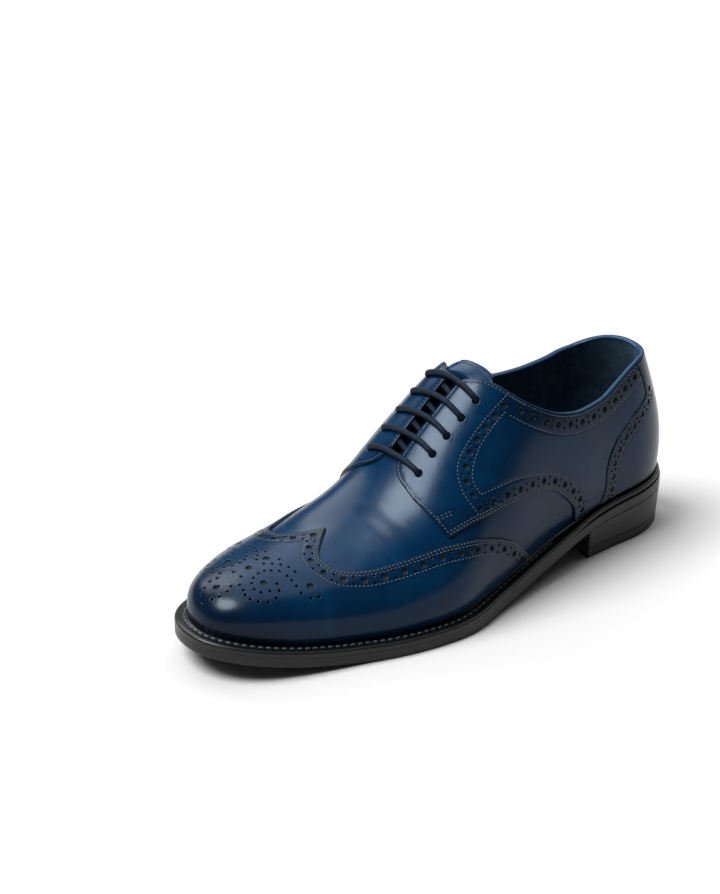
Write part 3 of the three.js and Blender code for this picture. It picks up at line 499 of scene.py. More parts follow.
@dataclass
class Chart:
    """The last laid out flat, so that leather can be cut in two dimensions.

    Over the crown of the foot, X runs along the shoe and Y across it from the ridge. Where wrap is
    set, X runs round the back of the heel from its middle, and Y up from the feather line.
    """

    last: Last
    wrap: bool = False
    probe: float = 0.05

    def flatten(self, at: Array, share: Array) -> Array:
        """Flat places of stations and shares across."""
        travel = np.interp(at, self.last.stations, self.last.travel)
        girth = np.interp(at, self.last.stations, self.last.half_girth)
        if self.wrap:
            return np.column_stack([np.sign(share) * travel, (1 - np.abs(share)) * girth])
        return np.column_stack([travel, share * girth])

    def unflatten(self, flat: Array) -> tuple[Array, Array]:
        """Stations and shares across of flat places."""
        along = np.abs(flat[:, 0]) if self.wrap else flat[:, 0]
        at = np.interp(along, self.last.travel, self.last.stations)
        girth = np.maximum(np.interp(at, self.last.stations, self.last.half_girth), 1e-6)
        if self.wrap:
            side = np.where(flat[:, 0] < 0, -1.0, 1.0)
            return at, side * (1 - flat[:, 1] / girth)
        return at, flat[:, 1] / girth

    def place(self, flat: Array, depth: Array | float = 0.0) -> Array:
        """Points in space of flat places, at a height above the face of the last."""
        return self.last.place(*self.unflatten(flat), depth)

    def normals(self, flat: Array) -> Array:
        """Outward normals at flat places."""
        return self.last.sample(*self.unflatten(flat))[1]

    def stretch(self, flat: Array) -> tuple[Array, Array]:
        """How a flat step along X and one along Y lie in space."""
        steps = []
        for step in ((self.probe, 0.0), (0.0, self.probe)):
            ahead, behind = self.place(flat + step), self.place(flat - np.array(step))
            steps.append((ahead - behind) / (2 * self.probe))
        return steps[0], steps[1]

    def axes(self, flat: Array) -> tuple[Array, Array]:
        """Two flat steps at each place that are 1 mm long and square to each other in space."""
        along, over = self.stretch(flat)
        along_size = np.maximum((along * along).sum(axis=1), 1e-9)
        lean = (along * over).sum(axis=1) / along_size
        square = over - lean[:, None] * along
        size = np.maximum(np.linalg.norm(square, axis=1), 1e-6)
        first = np.column_stack([1 / np.sqrt(along_size), np.zeros(len(flat))])
        second = np.column_stack([-lean / size, 1 / size])
        return first, second

    def offset(self, line: Array, distance: float) -> Array:
        """A flat line moved to its left by a true distance."""
        along, over = self.stretch(line)
        step = np.gradient(line, axis=0)
        left = np.column_stack([-step[:, 1], step[:, 0]])
        ahead = along * step[:, :1] + over * step[:, 1:]
        aside = along * left[:, :1] + over * left[:, 1:]
        size = np.maximum((ahead * ahead).sum(axis=1), 1e-12)
        lean = ((ahead * aside).sum(axis=1) / size)[:, None]
        reach = np.linalg.norm(aside - lean * ahead, axis=1)[:, None]
        return line + (left - lean * step) * distance / np.maximum(reach, 1e-9)

    def spaced(self, line: Array, spacing: float) -> Array:
        """Places along a flat line, a true distance apart, both ends kept."""
        points = self.place(line)
        count = max(1, round(measured(points)[-1] / spacing))
        return even_marks(points, line, count)

    def arc(self, centre: Array, radius: float, angles: Array) -> Array:
        """Flat places on a true circle."""
        first, second = self.axes(centre[None, :])
        return centre + radius * (np.cos(angles)[:, None] * first + np.sin(angles)[:, None] * second)


@dataclass(frozen=True)
class Punch:
    """A round hole in a piece of leather."""

    centre: tuple[float, float]
    radius: float
    sides: int


@dataclass
class Mesh:
    """Points and triangles under way to a piece, with one named value at each point."""

    points: Array
    faces: Array
    values: dict[str, Array] = field(default_factory=dict)

    @staticmethod
    def net(lines: list[Array], close_rows: bool = False, close_columns: bool = False) -> "Mesh":
        """A net between lines that have the same number of points."""
        points = np.stack(lines, axis=1)
        return Mesh(points.reshape(-1, 3), net_faces(*points.shape[:2], close_rows, close_columns))

    @staticmethod
    def joined(parts: list["Mesh"]) -> "Mesh":
        """Several meshes as one."""
        starts = np.cumsum([0] + [len(part.points) for part in parts[:-1]])
        names = set().union(*(part.values for part in parts))
        return Mesh(
            np.concatenate([part.points for part in parts]),
            np.concatenate([part.faces + start for part, start in zip(parts, starts)]),
            {
                name: np.concatenate([part.values.get(name, np.zeros(len(part.points))) for part in parts])
                for name in names
            },
        )

    def welded(self, grid: float = 2000) -> "Mesh":
        """The mesh with points that meet made one."""
        keys = np.round(self.points * grid).astype(np.int64)
        _, first, index = np.unique(keys, axis=0, return_index=True, return_inverse=True)
        faces = index.reshape(-1)[self.faces]
        sound = (faces[:, 0] != faces[:, 1]) & (faces[:, 1] != faces[:, 2]) & (faces[:, 2] != faces[:, 0])
        return Mesh(self.points[first], faces[sound], {name: v[first] for name, v in self.values.items()})


def net_faces(rows: int, columns: int, close_rows: bool = False, close_columns: bool = False) -> Array:
    """Triangles of a net of points, row after row."""
    last_row = rows if close_rows else rows - 1
    last_column = columns if close_columns else columns - 1
    i, j = np.meshgrid(np.arange(last_row), np.arange(last_column), indexing="ij")
    i, j = i.ravel(), j.ravel()
    i1, j1 = (i + 1) % rows, (j + 1) % columns
    a, b, c, d = i * columns + j, i1 * columns + j, i1 * columns + j1, i * columns + j1
    return np.concatenate([np.column_stack([a, b, c]), np.column_stack([a, c, d])])


def fan(rim: Array, hub: int) -> Array:
    """Triangles between the numbers of a closed rim's points and of a point inside it."""
    return np.column_stack([rim, np.roll(rim, -1), np.full(len(rim), hub)])


def inside_loop(points: Array, loop: Array) -> Array:
    """Which flat points lie inside a closed loop."""
    start, end = loop, np.roll(loop, -1, axis=0)
    result = []
    for part in np.array_split(points, max(1, len(points) // 3000)):
        x, y = part[:, :1], part[:, 1:]
        spans = (start[:, 1] > y) != (end[:, 1] > y)
        rise = end[:, 1] - start[:, 1]
        rise = np.where(np.abs(rise) < 1e-12, 1e-12, rise)
        crossing = (end[:, 0] - start[:, 0]) * (y - start[:, 1]) / rise + start[:, 0]
        result.append((spans & (x < crossing)).sum(axis=1) % 2 == 1)
    return np.concatenate(result)


class Nearest:
    """Finds how far points are from a set of places."""

    def __init__(self, places: Array) -> None:
        """Sorts the places, which have two or three coordinates."""
        self.tree = KDTree(len(places))
        padded = np.zeros((len(places), 3))
        padded[:, :places.shape[1]] = places
        for i, place in enumerate(padded):
            self.tree.insert(place, i)
        self.tree.balance()

    def find(self, points: Array) -> tuple[Array, Array]:
        """Index of the place nearest to each point, and its distance."""
        padded = np.zeros((len(points), 3))
        padded[:, :points.shape[1]] = points
        found = [self.tree.find(point) for point in padded]
        return np.array([item[1] for item in found]), np.array([item[2] for item in found])

    def distance(self, points: Array) -> Array:
        """Distance of each point from the nearest place."""
        return self.find(points)[1]


@dataclass(frozen=True)
class Crease:
    """A soft fold of worn leather, along a short line on the last."""

    start: tuple[float, float]
    middle: tuple[float, float]
    end: tuple[float, float]
    depth: float
    width: float

    def line(self, chart: Chart) -> Array:
        """Flat places along the fold."""
        t = np.linspace(0, 1, 60)[:, None]
        start, middle, end = (np.array(p)[None, :] for p in (self.start, self.middle, self.end))
        curve = start * (1 - t) ** 2 + 2 * middle * t * (1 - t) + end * t ** 2
        return chart.flatten(curve[:, 0], curve[:, 1])


def crease_relief(chart: Chart, points: Array, creases: list[Crease]) -> Array:
    """Height that creases add at points of the face of the last."""
    height = np.zeros(len(points))
    for crease in creases:
        places = chart.place(crease.line(chart))
        index, distance = Nearest(places).find(points)
        t = index / (len(places) - 1)
        d = distance / crease.width
        fade = np.clip(np.sin(math.pi * np.clip(t, 0.02, 0.98)), 0, 1) ** 0.7
        height += crease.depth * fade * (0.45 * np.exp(-((d - 1.9) / 1.1) ** 2) - np.exp(-d * d))
    return height


@dataclass(frozen=True)
class Burnish:
    """Where the leather is darker, from polish and towards the feather line: strength and reach in
    millimetres at each kind of place.
    """

    edge: tuple[float, float] = (0.6, 1.2)
    # darker towards the feather line
    feather: tuple[float, float] = (0.45, 5.0)
    seam: tuple[float, float] = (0.25, 0.8)
    hole: tuple[float, float] = (0.35, 0.3)
    toe: float = 0.70
    toe_from: float = 0.86
    toe_to: float = 0.99

    @staticmethod
    def fading(place: tuple[float, float], distance: Array, power: int = 1) -> Array:
        """Darkness that a place adds at distances from it."""
        strength, reach = place
        return strength * np.exp(-(distance / reach) ** power)


@dataclass
class Panel:
    """A piece of leather cut to an outline, punched and stitched, on the last."""

    chart: Chart
    outline: list[Array]
    punches: list[Punch] = field(default_factory=list)
    rows: list[Array] = field(default_factory=list)
    creases: list[Crease] = field(default_factory=list)
    smoke: list[tuple[Array, float, float]] = field(default_factory=list)
    face: float = 0.0
    wall: float = -1.35
    spacing: float = 1.5
    edge_drop: float = 0.36
    edge_round: float = 0.8
    groove: float = 0.13
    groove_half: float = 0.42
    rim_reaches: tuple[float, float] = (0.22, 0.6)
    rim_rise: float = 0.05
    rim_sink: float = 0.15
    hole_depth: float = 0.75
    stitch_sink: float = 0.02
    fine: float = 0.3
    polish: Burnish = Burnish()

    def loop(self) -> Array:
        """The whole outline, closed, with even points and its corners kept."""
        parts = [self.chart.spaced(part, 0.9)[:-1] for part in self.outline]
        loop = np.concatenate(parts)
        apart = np.linalg.norm(loop - np.roll(loop, 1, axis=0), axis=1) > 0.05
        loop = loop[apart]
        area = (loop[:, 0] * np.roll(loop[:, 1], -1) - np.roll(loop[:, 0], -1) * loop[:, 1]).sum()
        return loop if area > 0 else loop[::-1]

    def cut(self) -> Mesh:
        """Triangulates the piece and gives it its relief.

        Returns:
            The mesh of its face with rounded edges, walls round its edge and its holes, and a
            value at each point that says where the leather is darker: polish at its edges, walls, seams,
            holes, bands and toe, and towards the feather line.
        """
        loop = self.loop()
        accepted = [loop]
        edges = [(i, (i + 1) % len(loop)) for i in range(len(loop))]
        tags = [np.full(len(loop), -1)]
        count = len(loop)
        for index, punch in enumerate(self.punches):
            angles = np.arange(punch.sides) * TURN / punch.sides
            ring = self.chart.arc(np.array(punch.centre), punch.radius, angles)
            accepted.append(ring)
            tags.append(np.full(len(ring), index))
            edges += [(count + i, count + (i + 1) % len(ring)) for i in range(len(ring))]
            count += len(ring)
        for points, clear in self.inner_points(loop):
            tree = Nearest(np.concatenate(accepted))
            kept = points[tree.distance(points) > clear]
            accepted.append(kept)
            tags.append(np.full(len(kept), -2))
        flat = np.concatenate(accepted)
        tag = np.concatenate(tags)
        vectors = [Vector((float(x), float(y))) for x, y in flat]
        out = delaunay_2d_cdt(vectors, edges, [], 0, 1e-5)
        flat_out = np.array([tuple(v) for v in out[0]])
        tag_out = np.array([tag[origin[0]] if origin else -2 for origin in out[3]])
        faces = np.array([face for face in out[2] if len(face) == 3])
        return self.raised(flat_out, tag_out, faces, loop)

    def inner_points(self, loop: Array) -> list[tuple[Array, float]]:
        """Points inside the outline, in groups, each with the distance it keeps from the ones before."""
        groups = []
        for reach in self.rim_reaches:
            rims = []
            for punch in self.punches:
                angles = (np.arange(punch.sides) + reach) * TURN / punch.sides
                rims.append(self.chart.arc(np.array(punch.centre), punch.radius + reach, angles))
            if rims:
                groups.append((np.concatenate(rims), 0.16))
        for distance in (0.3, self.edge_round):
            ring = self.chart.offset(np.concatenate([loop[-1:], loop, loop[:1]]), distance)[1:-1]
            groups.append((ring[inside_loop(ring, loop)], 0.24))
        for row in self.rows:
            if len(row) > 3:
                for shift in (0.0, self.groove_half, -self.groove_half):
                    line = self.chart.offset(row, shift) if shift else row
                    line = self.chart.spaced(line, 1.0)
                    groups.append((line[inside_loop(line, loop)], 0.3))
        low, high = loop.min(axis=0), loop.max(axis=0)
        step = self.spacing * math.sqrt(3) / 2
        lines = np.arange(low[1], high[1], step)
        net = []
        for k, y in enumerate(lines):
            x = np.arange(low[0] + (k % 2) * self.spacing / 2, high[0], self.spacing)
            net.append(np.column_stack([x, np.full(len(x), y)]))
        net = np.concatenate(net)
        groups.append((net[inside_loop(net, loop)], 0.62 * self.spacing))
        return [(self.outside_punches(points), clear) for points, clear in groups]

    def outside_punches(self, points: Array) -> Array:
        """The points that lie in none of the holes."""
        kept = np.ones(len(points), bool)
        for punch in self.punches:
            reach = np.linalg.norm(points - punch.centre, axis=1)
            near = np.nonzero(reach < 2.5 * punch.radius)[0]
            if len(near):
                centre = self.chart.place(np.array([punch.centre]))
                gap = np.linalg.norm(self.chart.place(points[near]) - centre, axis=1)
                kept[near[gap < punch.radius + 0.1]] = False
        return points[kept]

    def raised(self, flat: Array, tag: Array, faces: Array, loop: Array) -> Mesh:
        """Lifts the flat triangles onto the last with their relief and walls."""
        centres = flat[faces].mean(axis=1)
        of_hole = (tag[faces] >= 0).all(axis=1) & (tag[faces] == tag[faces][:, :1]).all(axis=1)
        faces = faces[inside_loop(centres, loop) & ~of_hole]
        used = np.unique(faces)
        renumber = np.full(len(flat), -1)
        renumber[used] = np.arange(len(used))
        flat, tag, faces = flat[used], tag[used], renumber[faces]
        ground = self.chart.place(flat)
        edge_line = self.chart.place(self.chart.spaced(np.concatenate([loop, loop[:1]]), self.fine))
        edge = Nearest(edge_line).distance(ground)
        depth = np.full(len(flat), self.face)
        near = np.clip(edge / self.edge_round, 0, 1)
        depth -= self.edge_drop * (1 - np.sqrt(1 - (1 - near) ** 2))
        polish = self.polish
        burnish = polish.fading(polish.edge, edge)
        at, share = self.chart.unflatten(flat)
        girth = np.interp(at, self.chart.last.stations, self.chart.last.half_girth)
        # darker towards the feather line
        burnish += polish.fading(polish.feather, (1 - np.abs(share)) * girth)
        burnish += polish.toe * blend(at, polish.toe_from, polish.toe_to)
        for line, width, strength in self.smoke:
            reach = Nearest(self.chart.place(line)).distance(ground)
            burnish += polish.fading((strength, width), reach, 2)
        if self.rows:
            tracks = [self.chart.place(self.chart.spaced(row, self.fine)) for row in self.rows]
            seam = Nearest(np.concatenate(tracks)).distance(ground)
            depth -= self.groove * np.exp(-(seam / (0.6 * self.groove_half)) ** 2)
            burnish += polish.fading(polish.seam, seam, 2)
        if self.punches:
            centres = self.chart.place(np.array([p.centre for p in self.punches]))
            radii = np.array([p.radius for p in self.punches])
            index, distance = Nearest(centres).find(ground)
            gap = distance - radii[index]
            rim = self.rim_rise * np.exp(-((gap - self.rim_reaches[0]) / 0.25) ** 2)
            depth += np.where(gap < 0.1, -self.rim_sink, rim)
            burnish += polish.fading(polish.hole, np.maximum(gap, 0))
        if self.creases:
            depth += crease_relief(self.chart, ground, self.creases)
        top = self.chart.place(flat, depth)
        return self.walled(flat, faces, top, burnish)

    def walled(self, flat: Array, faces: Array, top: Array, burnish: Array) -> Mesh:
        """Adds a wall down from every open edge of the face."""
        normals = np.cross(top[faces[:, 1]] - top[faces[:, 0]], top[faces[:, 2]] - top[faces[:, 0]])
        flip = (normals * self.chart.normals(flat[faces].mean(axis=1))).sum(axis=1) < 0
        faces[flip] = faces[flip][:, ::-1]
        pairs = np.concatenate([faces[:, [0, 1]], faces[:, [1, 2]], faces[:, [2, 0]]])
        known = {(int(a), int(b)) for a, b in pairs}
        rim = [(a, b) for a, b in known if (b, a) not in known]
        rim.sort()
        ends = sorted({i for pair in rim for i in pair})
        lower = {old: len(flat) + new for new, old in enumerate(ends)}
        bottom = self.chart.place(flat[ends], self.wall)
        walls = []
        for a, b in rim:
            walls.append((a, lower[a], b))
            walls.append((b, lower[a], lower[b]))
        return Mesh(
            np.concatenate([top, bottom]),
            np.concatenate([faces, np.array(walls)]),
            {"burnish": np.concatenate([burnish, np.full(len(ends), 1.0)])},
        )


def hole_floors(chart: Chart, punches: list[Punch], depth: float) -> Mesh:
    """Hollow discs of raw leather at a depth that show inside the large holes."""
    index = np.arange(LARGE_SIDES)
    parts = []
    for punch in punches:
        if 1.0 < punch.radius < 1.8:
            centre = np.array(punch.centre)
            ring = chart.arc(centre, punch.radius + 0.1, index * TURN / LARGE_SIDES)
            points = chart.place(np.concatenate([ring, centre[None, :]]), depth)
            points[-1] -= chart.normals(centre[None, :])[0] * 0.15
            parts.append(Mesh(points, fan(index, LARGE_SIDES)))
    return Mesh.joined(parts)


@dataclass
class Thread:
    """Stitches, laid one after another along rows."""

    pitch: float = 2.0
    length: float = 1.35
    radius: float = 0.27
    sides: int = 6
    rings: tuple[tuple[float, float, float], ...] = (
        (-0.5, 0.45, -0.20), (-0.30, 0.95, -0.02), (0.0, 1.0, 0.04), (0.30, 0.95, -0.02),
        (0.5, 0.45, -0.20),
    )
    parts: list[Mesh] = field(default_factory=list)

    def stitch(self, along: Array, normal: Array, centre: Array) -> None:
        """Adds a stitch at each centre.

        Args:
            along: directions of the row.
            normal: directions out of the leather.
            centre: places of the stitches on the leather.
        """
        side = unit(np.cross(normal, along))
        angles = np.arange(self.sides) * TURN / self.sides
        columns = []
        for share, size, lift in self.rings:
            middle = centre + along * share * self.length + normal * lift
            for angle in angles:
                reach = self.radius * size
                columns.append(middle + side * reach * math.cos(angle) + normal * reach * math.sin(angle))
        points = np.stack(columns, axis=1)
        each = points.shape[1]
        body = net_faces(len(self.rings), self.sides, close_columns=True)
        first = [(0, i + 1, i) for i in range(1, self.sides - 1)]
        final = (len(self.rings) - 1) * self.sides
        last = [(final, final + i, final + i + 1) for i in range(1, self.sides - 1)]
        template = np.concatenate([body, np.array(first), np.array(last)])
        starts = np.arange(len(centre)) * each
        faces = (template[None, :, :] + starts[:, None, None]).reshape(-1, 3)
        self.parts.append(Mesh(points.reshape(-1, 3), faces))

    def sew(self, chart: Chart, row: Array, depth: float) -> None:
        """Sews along a flat row, with its stitches in the groove at a depth."""
        points = chart.place(row)
        count = int(measured(points)[-1] / self.pitch)
        if count < 1:
            return
        halves = even_marks(points, row, count * 2)
        marks, ahead = halves[1::2], halves[2::2]
        centre = chart.place(marks, depth)
        self.stitch(unit(chart.place(ahead, depth) - centre), chart.normals(marks), centre)


class Signal:
    """A shader socket whose arithmetic adds Math nodes."""

    def __init__(self, shader: "Shader", socket: bpy.types.NodeSocket) -> None:
        """Keeps the socket and the shader that it belongs to."""
        self.shader = shader
        self.socket = socket

    def math(self, operation: str, other: "Signal | float", swap: bool = False) -> "Signal":
        """A Math node on this value and another one, which comes first where swap is set."""
        pair = (other, self) if swap else (self, other)
        node = self.shader.node("ShaderNodeMath", {"operation": operation}, {0: pair[0], 1: pair[1]})
        return Signal(self.shader, node.outputs[0])

    def __add__(self, other: "Signal | float") -> "Signal":
        """Sum."""
        return self.math("ADD", other)

    __radd__ = __add__

    def __sub__(self, other: "Signal | float") -> "Signal":
        """Difference."""
        return self.math("SUBTRACT", other)

    def __rsub__(self, other: float) -> "Signal":
        """Difference from a number before it."""
        return self.math("SUBTRACT", other, swap=True)

    def __mul__(self, other: "Signal | float") -> "Signal":
        """Product."""
        return self.math("MULTIPLY", other)

    __rmul__ = __mul__

    def clamped(self, low: float = 0.0, high: float = 1.0) -> "Signal":
        """The value kept between two numbers."""
        return self.math("MAXIMUM", low).math("MINIMUM", high)

    def sine(self) -> "Signal":
        """Sine of the value."""
        return self.math("SINE", 0.0)

    def size(self) -> "Signal":
        """The value without its sign."""
        return self.math("ABSOLUTE", 0.0)


class Shader:
    """A material's node tree under way."""

    def __init__(self, name: str) -> None:
        """Starts an empty material."""
        self.material = bpy.data.materials.new(name)
        self.material.use_nodes = True
        self.tree = self.material.node_tree
        self.tree.nodes.clear()

    def node(self, kind: str, settings: dict | None = None, values: dict | None = None) -> bpy.types.Node:
        """Adds a node.

        Args:
            kind: the node's type.
            settings: its properties, set first.
            values: numbers or signals for its sockets, by name or index.

        Returns:
            The node.
        """
        made = self.tree.nodes.new(kind)
        for name, value in (settings or {}).items():
            setattr(made, name, value)
        for name, value in (values or {}).items():
            if isinstance(value, Signal):
                self.tree.links.new(value.socket, made.inputs[name])
            else:
                made.inputs[name].default_value = value
        return made

    def signal(self, kind: str, output: str | int, settings: dict | None = None,
               values: dict | None = None) -> Signal:
        """Adds a node and gives one of its outputs, by name or index."""
        return Signal(self, self.node(kind, settings, values).outputs[output])

    def place(self) -> Signal:
        """Where a point of the piece is, in metres."""
        return self.signal("ShaderNodeTexCoord", "Object")

    def measure(self, name: str) -> Signal:
        """A named value of the mesh."""
        return self.signal("ShaderNodeAttribute", "Fac", {"attribute_name": name})

    def scaled(self, scale: tuple[float, float, float]) -> Signal:
        """Place stretched by a factor along each axis."""
        values = {0: self.place(), 1: scale}
        return self.signal("ShaderNodeVectorMath", 0, {"operation": "MULTIPLY"}, values)

    def noise(self, size_mm: float, detail: float = 2, roughness: float = 0.5, where: Signal | None = None,
              distortion: float = 0.0) -> Signal:
        """Cloudy noise near 0.5 with patches of a size, at the point's own place unless where is set."""
        values = {
            "Vector": where or self.place(), "Scale": 1 / (size_mm * MM), "Detail": detail,
            "Roughness": roughness, "Distortion": distortion,
        }
        return self.signal("ShaderNodeTexNoise", "Fac", None, values)

    def cells(self, size_mm: float) -> Signal:
        """Distance to the edges of small cells, as between pores."""
        values = {"Vector": self.place(), "Scale": 1 / (size_mm * MM)}
        return self.signal("ShaderNodeTexVoronoi", "Distance", {"feature": "DISTANCE_TO_EDGE"}, values)

    def mix(self, factor: Signal | float, first: Signal | Colour, second: Signal | Colour) -> Signal:
        """One colour over another."""
        values = {0: factor, 6: self.colour(first), 7: self.colour(second)}
        return self.signal("ShaderNodeMix", 2, {"data_type": "RGBA", "blend_type": "MIX"}, values)

    @staticmethod
    def colour(value: Signal | Colour) -> Signal | tuple:
        """A colour with its fourth channel."""
        return value if isinstance(value, Signal) else (*value, 1.0)

    def bump(self, height: Signal, distance_mm: float) -> Signal:
        """Normal of a relief."""
        values = {"Height": height, "Distance": distance_mm * MM, "Strength": 1.0}
        return self.signal("ShaderNodeBump", "Normal", None, values)

    def finish(self, values: dict) -> bpy.types.Material:
        """Closes the material with a principled shader that has these values and signals."""
        surface = self.node("ShaderNodeBsdfPrincipled", None, values)
        output = self.node("ShaderNodeOutputMaterial")
        self.tree.links.new(surface.outputs[0], output.inputs[0])
        return self.material


@dataclass(frozen=True)
class Calf:
    """Polished aniline calf: burnished blue, cloudy, with fine pores."""

    name: str
    body: Colour = (0.0003, 0.0138, 0.0430)
    light: Colour = (0.0006, 0.0235, 0.0650)
    # Colour of burnished places, and also the painted shade of the tongue deep in the throat.
    dark: Colour = (0.0008, 0.0028, 0.0084)
    roughness: float = 0.21
    grain_mm: float = 0.9
    grain: float = 0.018

    def material(self) -> bpy.types.Material:
        """Builds the shader."""
        shader = Shader(self.name)
        clouds = shader.noise(26, 4, 0.55)
        patches = shader.noise(6, 5, 0.6)
        pores = shader.cells(self.grain_mm)
        grain = shader.noise(self.grain_mm * 0.7, 3, 0.6)
        veins = shader.noise(9, 6, 0.62, distortion=1.2)
        # Darker where the mesh's value is high: polish at edges, seams, holes and toe, darkening towards
        # the feather line, and painted shade on the tongue deep in the throat.
        dark = shader.measure("burnish") * (0.75 + 0.5 * patches)
        cloudy = ((clouds - 0.40) * 2.4 + (patches - 0.5) * 0.8 + (grain - 0.5) * 0.35).clamped()
        colour = shader.mix(cloudy, self.body, self.light)
        colour = shader.mix(dark.clamped(0, 0.92), colour, self.dark)
        height = pores.math("MINIMUM", 0.12) * 3 + grain * 0.9 + veins * 1.6
        gloss = self.roughness + (patches - 0.5) * 0.12 + (grain - 0.5) * 0.08
        return shader.finish({
            "Base Color": colour, "Roughness": gloss.clamped(0.12, 0.8), "Specular IOR Level": 0.19,
            "Specular Tint": (0.76, 0.88, 1.0, 1.0),
            "Normal": shader.bump(height, self.grain),
        })


@dataclass(frozen=True)
class Suede:
    """Matt lining leather with a soft nap."""

    name: str
    body: Colour = (0.0190, 0.0420, 0.0700)
    light: Colour = (0.0620, 0.1150, 0.1700)

    def material(self) -> bpy.types.Material:
        """Builds the shader."""
        shader = Shader(self.name)
        nap = shader.noise(0.8, 4, 0.7)
        patches = shader.noise(7, 4, 0.6, distortion=0.6)
        rubbed = ((patches - 0.45) * 2.2 + (nap - 0.5) * 1.2).clamped()
        colour = shader.mix(rubbed, self.body, self.light)
        return shader.finish({
            "Base Color": colour, "Roughness": 0.9, "Specular IOR Level": 0.08, "Sheen Weight": 0.12,
            "Sheen Roughness": 0.5, "Sheen Tint": (0.45, 0.7, 1.0, 1.0),
            "Normal": shader.bump(nap + patches * 0.6, 0.25),
        })


@dataclass(frozen=True)
class EdgeDressing:
    """Sole leather under satin black edge dressing, with faint lines of its layers."""

    name: str
    body: Colour = (0.0034, 0.0034, 0.0045)
    worn: Colour = (0.0100, 0.0088, 0.0100)
    roughness: float = 0.38
    line_mm: float = 1.1

    def material(self) -> bpy.types.Material:
        """Builds the shader."""
        shader = Shader(self.name)
        stretched = shader.scaled((60, 60, 900))
        layers = shader.noise(1000 * self.line_mm, 3, 0.6, where=stretched)
        patches = shader.noise(14, 4, 0.6)
        grit = shader.noise(0.5, 3, 0.6)
        worn = ((patches - 0.42) * 1.2 + (layers - 0.5) * 0.35).clamped()
        gloss = self.roughness + (layers - 0.5) * 0.06 + (grit - 0.5) * 0.10
        return shader.finish({
            "Base Color": shader.mix(worn, self.body, self.worn), "Roughness": gloss.clamped(0.2, 0.85),
            "Specular IOR Level": 0.36, "Normal": shader.bump(layers + grit * 0.3, 0.007),
        })


@dataclass(frozen=True)
class Rubber:
    """Matt black rubber of the top piece."""

    name: str
    body: Colour = (0.0060, 0.0060, 0.0066)

    def material(self) -> bpy.types.Material:
        """Builds the shader."""
        shader = Shader(self.name)
        grit = shader.noise(0.5, 4, 0.7)
        patches = shader.noise(10, 3, 0.6)
        colour = shader.mix((patches - 0.35).clamped(), self.body, (0.014, 0.013, 0.013))
        return shader.finish({
            "Base Color": colour, "Roughness": (0.52 + (grit - 0.5) * 0.3).clamped(),
            "Specular IOR Level": 0.4, "Normal": shader.bump(grit, 0.06),
        })


@dataclass(frozen=True)
class WaxedCord:
    """Round braided cord with wax in its strands."""

    name: str
    body: Colour = (0.0012, 0.0036, 0.0100)
    light: Colour = (0.0070, 0.0150, 0.0330)
    strand_mm: float = 1.3
    strands: int = 6

    def material(self) -> bpy.types.Material:
        """Builds the shader."""
        shader = Shader(self.name)
        along = shader.measure("along") * (TURN / self.strand_mm / 2)
        around = shader.measure("around") * float(self.strands)
        one = (along + around).sine().size()
        other = (along - around).sine().size()
        braid = one.math("MAXIMUM", other)
        wax = shader.noise(2.2, 4, 0.6)
        rubbed = ((braid - 0.62) * 1.6 + (wax - 0.55) * 1.4).clamped()
        return shader.finish({
            "Base Color": shader.mix(rubbed, self.body, self.light),
            "Roughness": (0.42 + (wax - 0.5) * 0.4).clamped(0.25, 0.8), "Specular IOR Level": 0.14,
            "Specular Tint": (0.6, 0.8, 1.0, 1.0),
            "Normal": shader.bump(braid + wax * 0.4, 0.22),
        })


@dataclass(frozen=True)
class Cotton:
    """Sewing thread, twisted and lightly waxed."""

    name: str
    body: Colour = (0.035, 0.055, 0.085)
    light: Colour = (0.100, 0.130, 0.170)

    def material(self) -> bpy.types.Material:
        """Builds the shader."""
        shader = Shader(self.name)
        twist = shader.noise(0.35, 2, 0.6)
        wear = shader.noise(3.0, 3, 0.6)
        tone = ((twist - 0.4) * 1.2 + (wear - 0.5) * 1.5).clamped()
        return shader.finish({
            "Base Color": shader.mix(tone, self.body, self.light), "Roughness": 0.5,
            "Normal": shader.bump(twist, 0.05),
        })


@dataclass(frozen=True)
class Paper:
    """Pale paper of the studio floor."""

    name: str
    body: Colour = (0.47, 0.47, 0.47)

    def material(self) -> bpy.types.Material:
        """Builds the shader."""
        shader = Shader(self.name)
        grain = shader.noise(1.5, 3, 0.6)
        colour = shader.mix((grain - 0.5).clamped(), self.body, (0.455, 0.455, 0.458))
        return shader.finish({"Base Color": colour, "Roughness": 0.75, "Specular IOR Level": 0.15})


POLISHED_CALF = Calf("polished_calf")
BURNISHED_CALF = Calf("burnished_calf", body=(0.0003, 0.0125, 0.0385))
BOUND_CALF = Calf("bound_calf", body=(0.0005, 0.0180, 0.0540), roughness=0.23)
SOLE_DRESSING = EdgeDressing("sole_edge_dressing")
WELT_DRESSING = EdgeDressing("welt_dressing", (0.0016, 0.0018, 0.0026), (0.0045, 0.0048, 0.0060), 0.34)
HEEL_DRESSING = EdgeDressing("heel_dressing", (0.0100, 0.0088, 0.0108), (0.0170, 0.0150, 0.0172))
RAW_FLESH = Suede("raw_flesh", (0.008, 0.011, 0.015), (0.030, 0.036, 0.043))
SOCK_LEATHER = Suede("sock_leather", (0.008, 0.015, 0.030), (0.014, 0.026, 0.047))
Finish = Calf | Suede | EdgeDressing | Rubber | WaxedCord | Cotton | Paper


def in_scene(name: str, data: bpy.types.ID) -> bpy.types.Object:
    """An object of some data, linked into the scene."""
    made = bpy.data.objects.new(name, data)
    bpy.context.scene.collection.objects.link(made)
    return made


